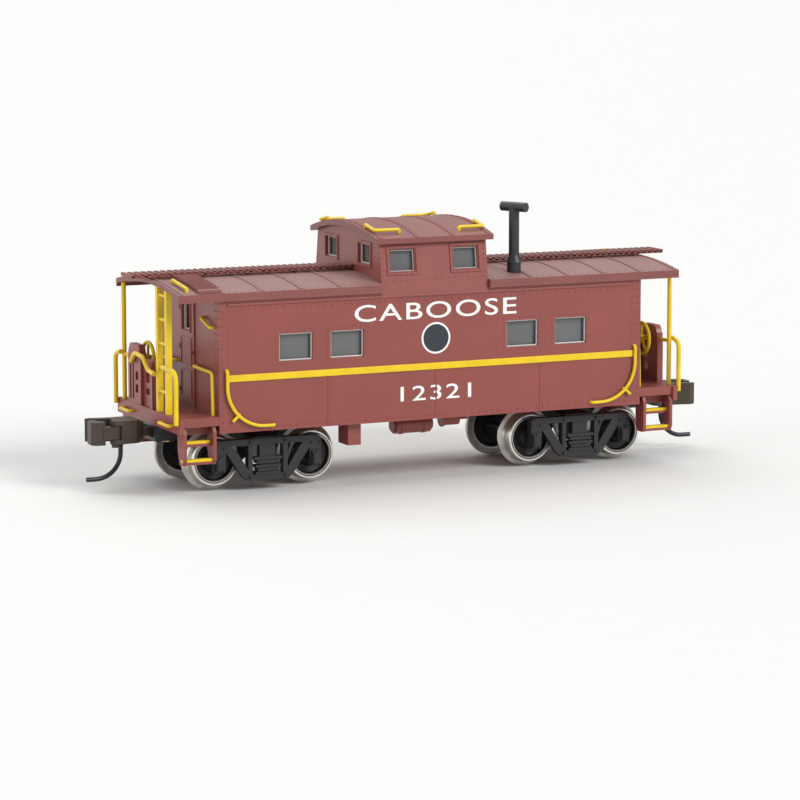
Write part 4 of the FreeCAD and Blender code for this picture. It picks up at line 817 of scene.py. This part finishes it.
class CABOOSE_OT_walkways(bpy.types.Operator):
    """Open gratings in place of the plain running boards"""
    bl_idname = "caboose.walkways"
    bl_label = "Walkways"

    def execute(self, context):
        pitch = sizes().slat_pitch
        start, stop = BOARD_LOW.x, BOARD_HIGH.x
        half, top = BOARD_HIGH.y, BOARD_HIGH.z
        under = top - 0.4 * MM
        runner = 0.22 * MM
        saddles = 5
        half_saddle, saddle_side = 0.3 * MM, half - 0.2 * MM
        for end, letter in ((1, "b"), (-1, "a")):
            bm = bmesh.new()
            for across in (-half, -half / 3, half / 3 - 0.1 * MM, half - runner):
                block(bm, (start, across, under), (stop, across + runner, top - 0.17 * MM))
            place = start
            while place < stop - 0.2 * MM:
                block(bm, (place, -half, under + 0.08 * MM), (place + pitch * 0.55, half, top))
                place += pitch
            for number in range(saddles):
                at = start + MM + (ROOF_HIGH.x - start - 2 * MM) * number / (saddles - 1)
                block(bm, (at - half_saddle, -saddle_side, roof_height(0) - 0.02 * MM),
                      (at + half_saddle, saddle_side, under + 0.1 * MM))
            if end < 0:
                bmesh.ops.rotate(bm, verts=bm.verts, cent=(0, 0, 0),
                                 matrix=Matrix.Rotation(math.pi, 3, "Z"))
            piece = finished(bm, f"walkway_{letter}", "Walkway paint")
            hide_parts(f"running_board_{letter}")
        return {"FINISHED"}


class CABOOSE_OT_treads(bpy.types.Operator):
    """Raised bars across the platform floors and on the corner boards"""
    bl_idname = "caboose.treads"
    bl_label = "Treads"

    def execute(self, context):
        bm = bmesh.new()
        low, high = extent("end_platform_b")
        reach = SIDE - 3.0 * MM
        for end in (-1, 1):
            place = low.x + 0.7 * MM
            while place < high.x - 0.9 * MM:
                near, far = sorted((end * place, end * (place + 0.16 * MM)))
                block(bm, (near, -reach, DECK - 0.02 * MM), (far, reach, DECK + 0.05 * MM))
                place += TREAD_PITCH
        finished(bm, "platform_treads", "Body paint")
        boards = bmesh.new()
        node = frame["nodes"]["corner_boards"]
        low = min(v.co.x for v in node.data.vertices if v.co.x > 0)
        high = max(v.co.x for v in node.data.vertices)
        half_bar = 0.1 * MM
        for end in (-1, 1):
            near, far = sorted((end * (low + 0.02 * MM), end * (high - 0.02 * MM)))
            across = BOARD_HIGH.y + 0.25 * MM
            while across < SIDE:
                top = roof_height(across) + 0.37 * MM
                block(boards, (near, end * across - half_bar, top - 0.1 * MM),
                      (far, end * across + half_bar, top + 0.08 * MM))
                across += TREAD_PITCH
        finished(boards, "corner_board_treads", "Walkway paint")
        return {"FINISHED"}


# ------------------------------------------------------------------ operators: printing

class CABOOSE_OT_printing(bpy.types.Operator):
    """A plain word and a plain number printed on both sides"""
    bl_idname = "caboose.printing"
    bl_label = "Printing"

    def execute(self, context):
        bm = bmesh.new()
        for words, low, high, half in (("CABOOSE", 17.6 * MM, 19.4 * MM, 9.6 * MM),
                                       ("12321", 8.8 * MM, 10.4 * MM, 4.2 * MM)):
            letters = bpy.data.curves.new(words, "FONT")
            letters.body = words
            letters.align_x = "CENTER"
            letters.extrude = 0.02
            letters.offset = 0.004
            letters.resolution_u = 6
            letters.space_character = 1.12
            holder = bpy.data.objects.new(words, letters)
            flat = bpy.data.meshes.new_from_object(holder)
            bpy.data.objects.remove(holder)
            across = [v.co.x for v in flat.vertices]
            up = [v.co.y for v in flat.vertices]
            wide, tall = max(across) - min(across), max(up) - min(up)
            shape = Matrix.Diagonal((2 * half / wide, (high - low) / tall, MM, 1.0))
            shape = shape @ Matrix.Translation((0, -min(up), 0))
            upright = Matrix.Rotation(math.pi / 2, 4, "X")
            place = Matrix.Translation((0, -SIDE - 0.01 * MM, low))
            for turn in (0, math.pi):
                side = flat.copy()
                side.transform(Matrix.Rotation(turn, 4, "Z") @ place @ upright @ shape)
                bm.from_mesh(side)
                bpy.data.meshes.remove(side)
            bpy.data.meshes.remove(flat)
        bmesh.ops.remove_doubles(bm, verts=bm.verts, dist=0.001 * MM)
        finished(bm, "side_lettering", "Printed ink")
        return {"FINISHED"}


# ------------------------------------------------------------------ operators: trucks

class CABOOSE_OT_truck_details(bpy.types.Operator):
    """Journal box lids and bolts on the side frames of both trucks"""
    bl_idname = "caboose.truck_details"
    bl_label = "Truck details"

    def execute(self, context):
        half_lid, half_catch = 0.4 * MM, 0.16 * MM
        lid_low, lid_high = AXLE_HEIGHT - 0.72 * MM, AXLE_HEIGHT + 0.42 * MM
        catch_low, catch_high = AXLE_HEIGHT + 0.4 * MM, AXLE_HEIGHT + 0.66 * MM
        for end, letter in ((-1, "a"), (1, "b")):
            bm = bmesh.new()
            face = extent(f"truck_frame_{letter}")[1].y
            centre = end * TRUCK_AT
            for hand in (-1, 1):
                out = (0, hand, 0)
                bolt_at = hand * (face - 0.26 * MM)
                near, far = sorted((hand * (face - 0.05 * MM), hand * (face + 0.14 * MM)))
                for along in (-1, 1):
                    at = centre + along * HALF_WHEELBASE
                    block(bm, (at - half_lid, near, lid_low), (at + half_lid, far, lid_high))
                    block(bm, (at - half_catch, near, catch_low), (at + half_catch, far, catch_high))
                    for side in (-1, 1):
                        bolt(bm, (at + side * 0.5 * MM, bolt_at, AXLE_HEIGHT + 1.5 * MM), out, 0.15 * MM,
                             0.3 * MM)
                        bolt(bm, (at + side * 0.45 * MM, bolt_at, AXLE_HEIGHT - 0.93 * MM), out, 0.13 * MM,
                             0.3 * MM)
                for side in (-1, 1):
                    for height in (AXLE_HEIGHT - 1.75 * MM, AXLE_HEIGHT + 1.95 * MM):
                        bolt(bm, (centre + side * 2.0 * MM, bolt_at, height), out, 0.2 * MM, 0.34 * MM)
            finished(bm, f"truck_fittings_{letter}", "Truck plastic", body=f"truck_{letter}",
                     bevel=0.02 * MM, segments=1)
        return {"FINISHED"}


# ------------------------------------------------------------------ operators: stage

class CABOOSE_OT_stage(bpy.types.Operator):
    """Pale floor, soft studio lights, white surroundings and the camera"""
    bl_idname = "caboose.stage"
    bl_label = "Stage"

    def execute(self, context):
        scene = context.scene
        bm = bmesh.new()
        bmesh.ops.create_grid(bm, x_segments=8, y_segments=8, size=6.0)
        bmesh.ops.translate(bm, verts=bm.verts, vec=(0, 0, -0.02 * MM))
        mesh = bpy.data.meshes.new("floor")
        bm.to_mesh(mesh)
        bm.free()
        mesh.materials.append(bpy.data.materials["Pale floor"])
        floor = bpy.data.objects.new("floor", mesh)
        scene.collection.objects.link(floor)
        world = scene.world or bpy.data.worlds.new("Surroundings")
        scene.world = world
        world.use_nodes = True
        sky = world.node_tree.nodes["Background"]
        sky.inputs["Color"].default_value = (1.0, 1.0, 1.0, 1.0)
        sky.inputs["Strength"].default_value = SKY_STRENGTH
        for name, direction, spread, strength in LAMPS:
            lamp(name, direction, spread, strength)
        scene.view_settings.view_transform = "Standard"
        eye = bpy.data.cameras.new("camera")
        eye.lens = LENS
        eye.sensor_width = 36.0
        eye.clip_start, eye.clip_end = 0.01, 50.0
        camera = bpy.data.objects.new("camera", eye)
        scene.collection.objects.link(camera)
        camera.location = EYE
        camera.rotation_mode = "QUATERNION"
        camera.rotation_quaternion = (AIM - EYE).to_track_quat("-Z", "Y")
        scene.camera = camera
        return {"FINISHED"}


def lamp(name, direction, spread, strength):
    """A broad soft light from a direction, the same all over the floor."""
    light = bpy.data.lights.new(name, "SUN")
    light.angle = math.radians(spread)
    light.energy = strength
    holder = bpy.data.objects.new(name, light)
    bpy.context.scene.collection.objects.link(holder)
    holder.rotation_mode = "QUATERNION"
    holder.rotation_quaternion = (-Vector(direction)).to_track_quat("-Z", "Y")


# ------------------------------------------------------------------ panel and start

OPERATORS = (CABOOSE_OT_finishes, CABOOSE_OT_stage, CABOOSE_OT_body_rivets, CABOOSE_OT_letterboards,
             CABOOSE_OT_belt_rails, CABOOSE_OT_window_sashes, CABOOSE_OT_doors, CABOOSE_OT_roof_seams,
             CABOOSE_OT_cupola_trim, CABOOSE_OT_walkways, CABOOSE_OT_treads, CABOOSE_OT_printing,
             CABOOSE_OT_truck_details)


class CABOOSE_PT_panel(bpy.types.Panel):
    """Lists the caboose's pieces, sizes and colours"""
    bl_idname = "CABOOSE_PT_panel"
    bl_label = "Model Caboose"
    bl_space_type = "VIEW_3D"
    bl_region_type = "UI"
    bl_category = "Caboose"

    def draw(self, context):
        for group in (context.scene.caboose_sizes, context.scene.caboose_colours):
            for name in group.bl_rna.properties.keys():
                if name not in ("rna_type", "name"):
                    self.layout.prop(group, name)
        for operator in OPERATORS:
            self.layout.operator(operator.bl_idname)


CLASSES = (CabooseColours, CabooseSizes, *OPERATORS, CABOOSE_PT_panel)


def register():
    for item in CLASSES:
        bpy.utils.register_class(item)
    bpy.types.Scene.caboose_sizes = PointerProperty(type=CabooseSizes)
    bpy.types.Scene.caboose_colours = PointerProperty(type=CabooseColours)


def unregister():
    del bpy.types.Scene.caboose_colours
    del bpy.types.Scene.caboose_sizes
    for item in reversed(CLASSES):
        bpy.utils.unregister_class(item)


def main():
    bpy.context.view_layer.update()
    register()
    for operator in OPERATORS:
        getattr(bpy.ops.caboose, operator.bl_idname.split(".")[1])()


if __name__ == "__main__":
    main()
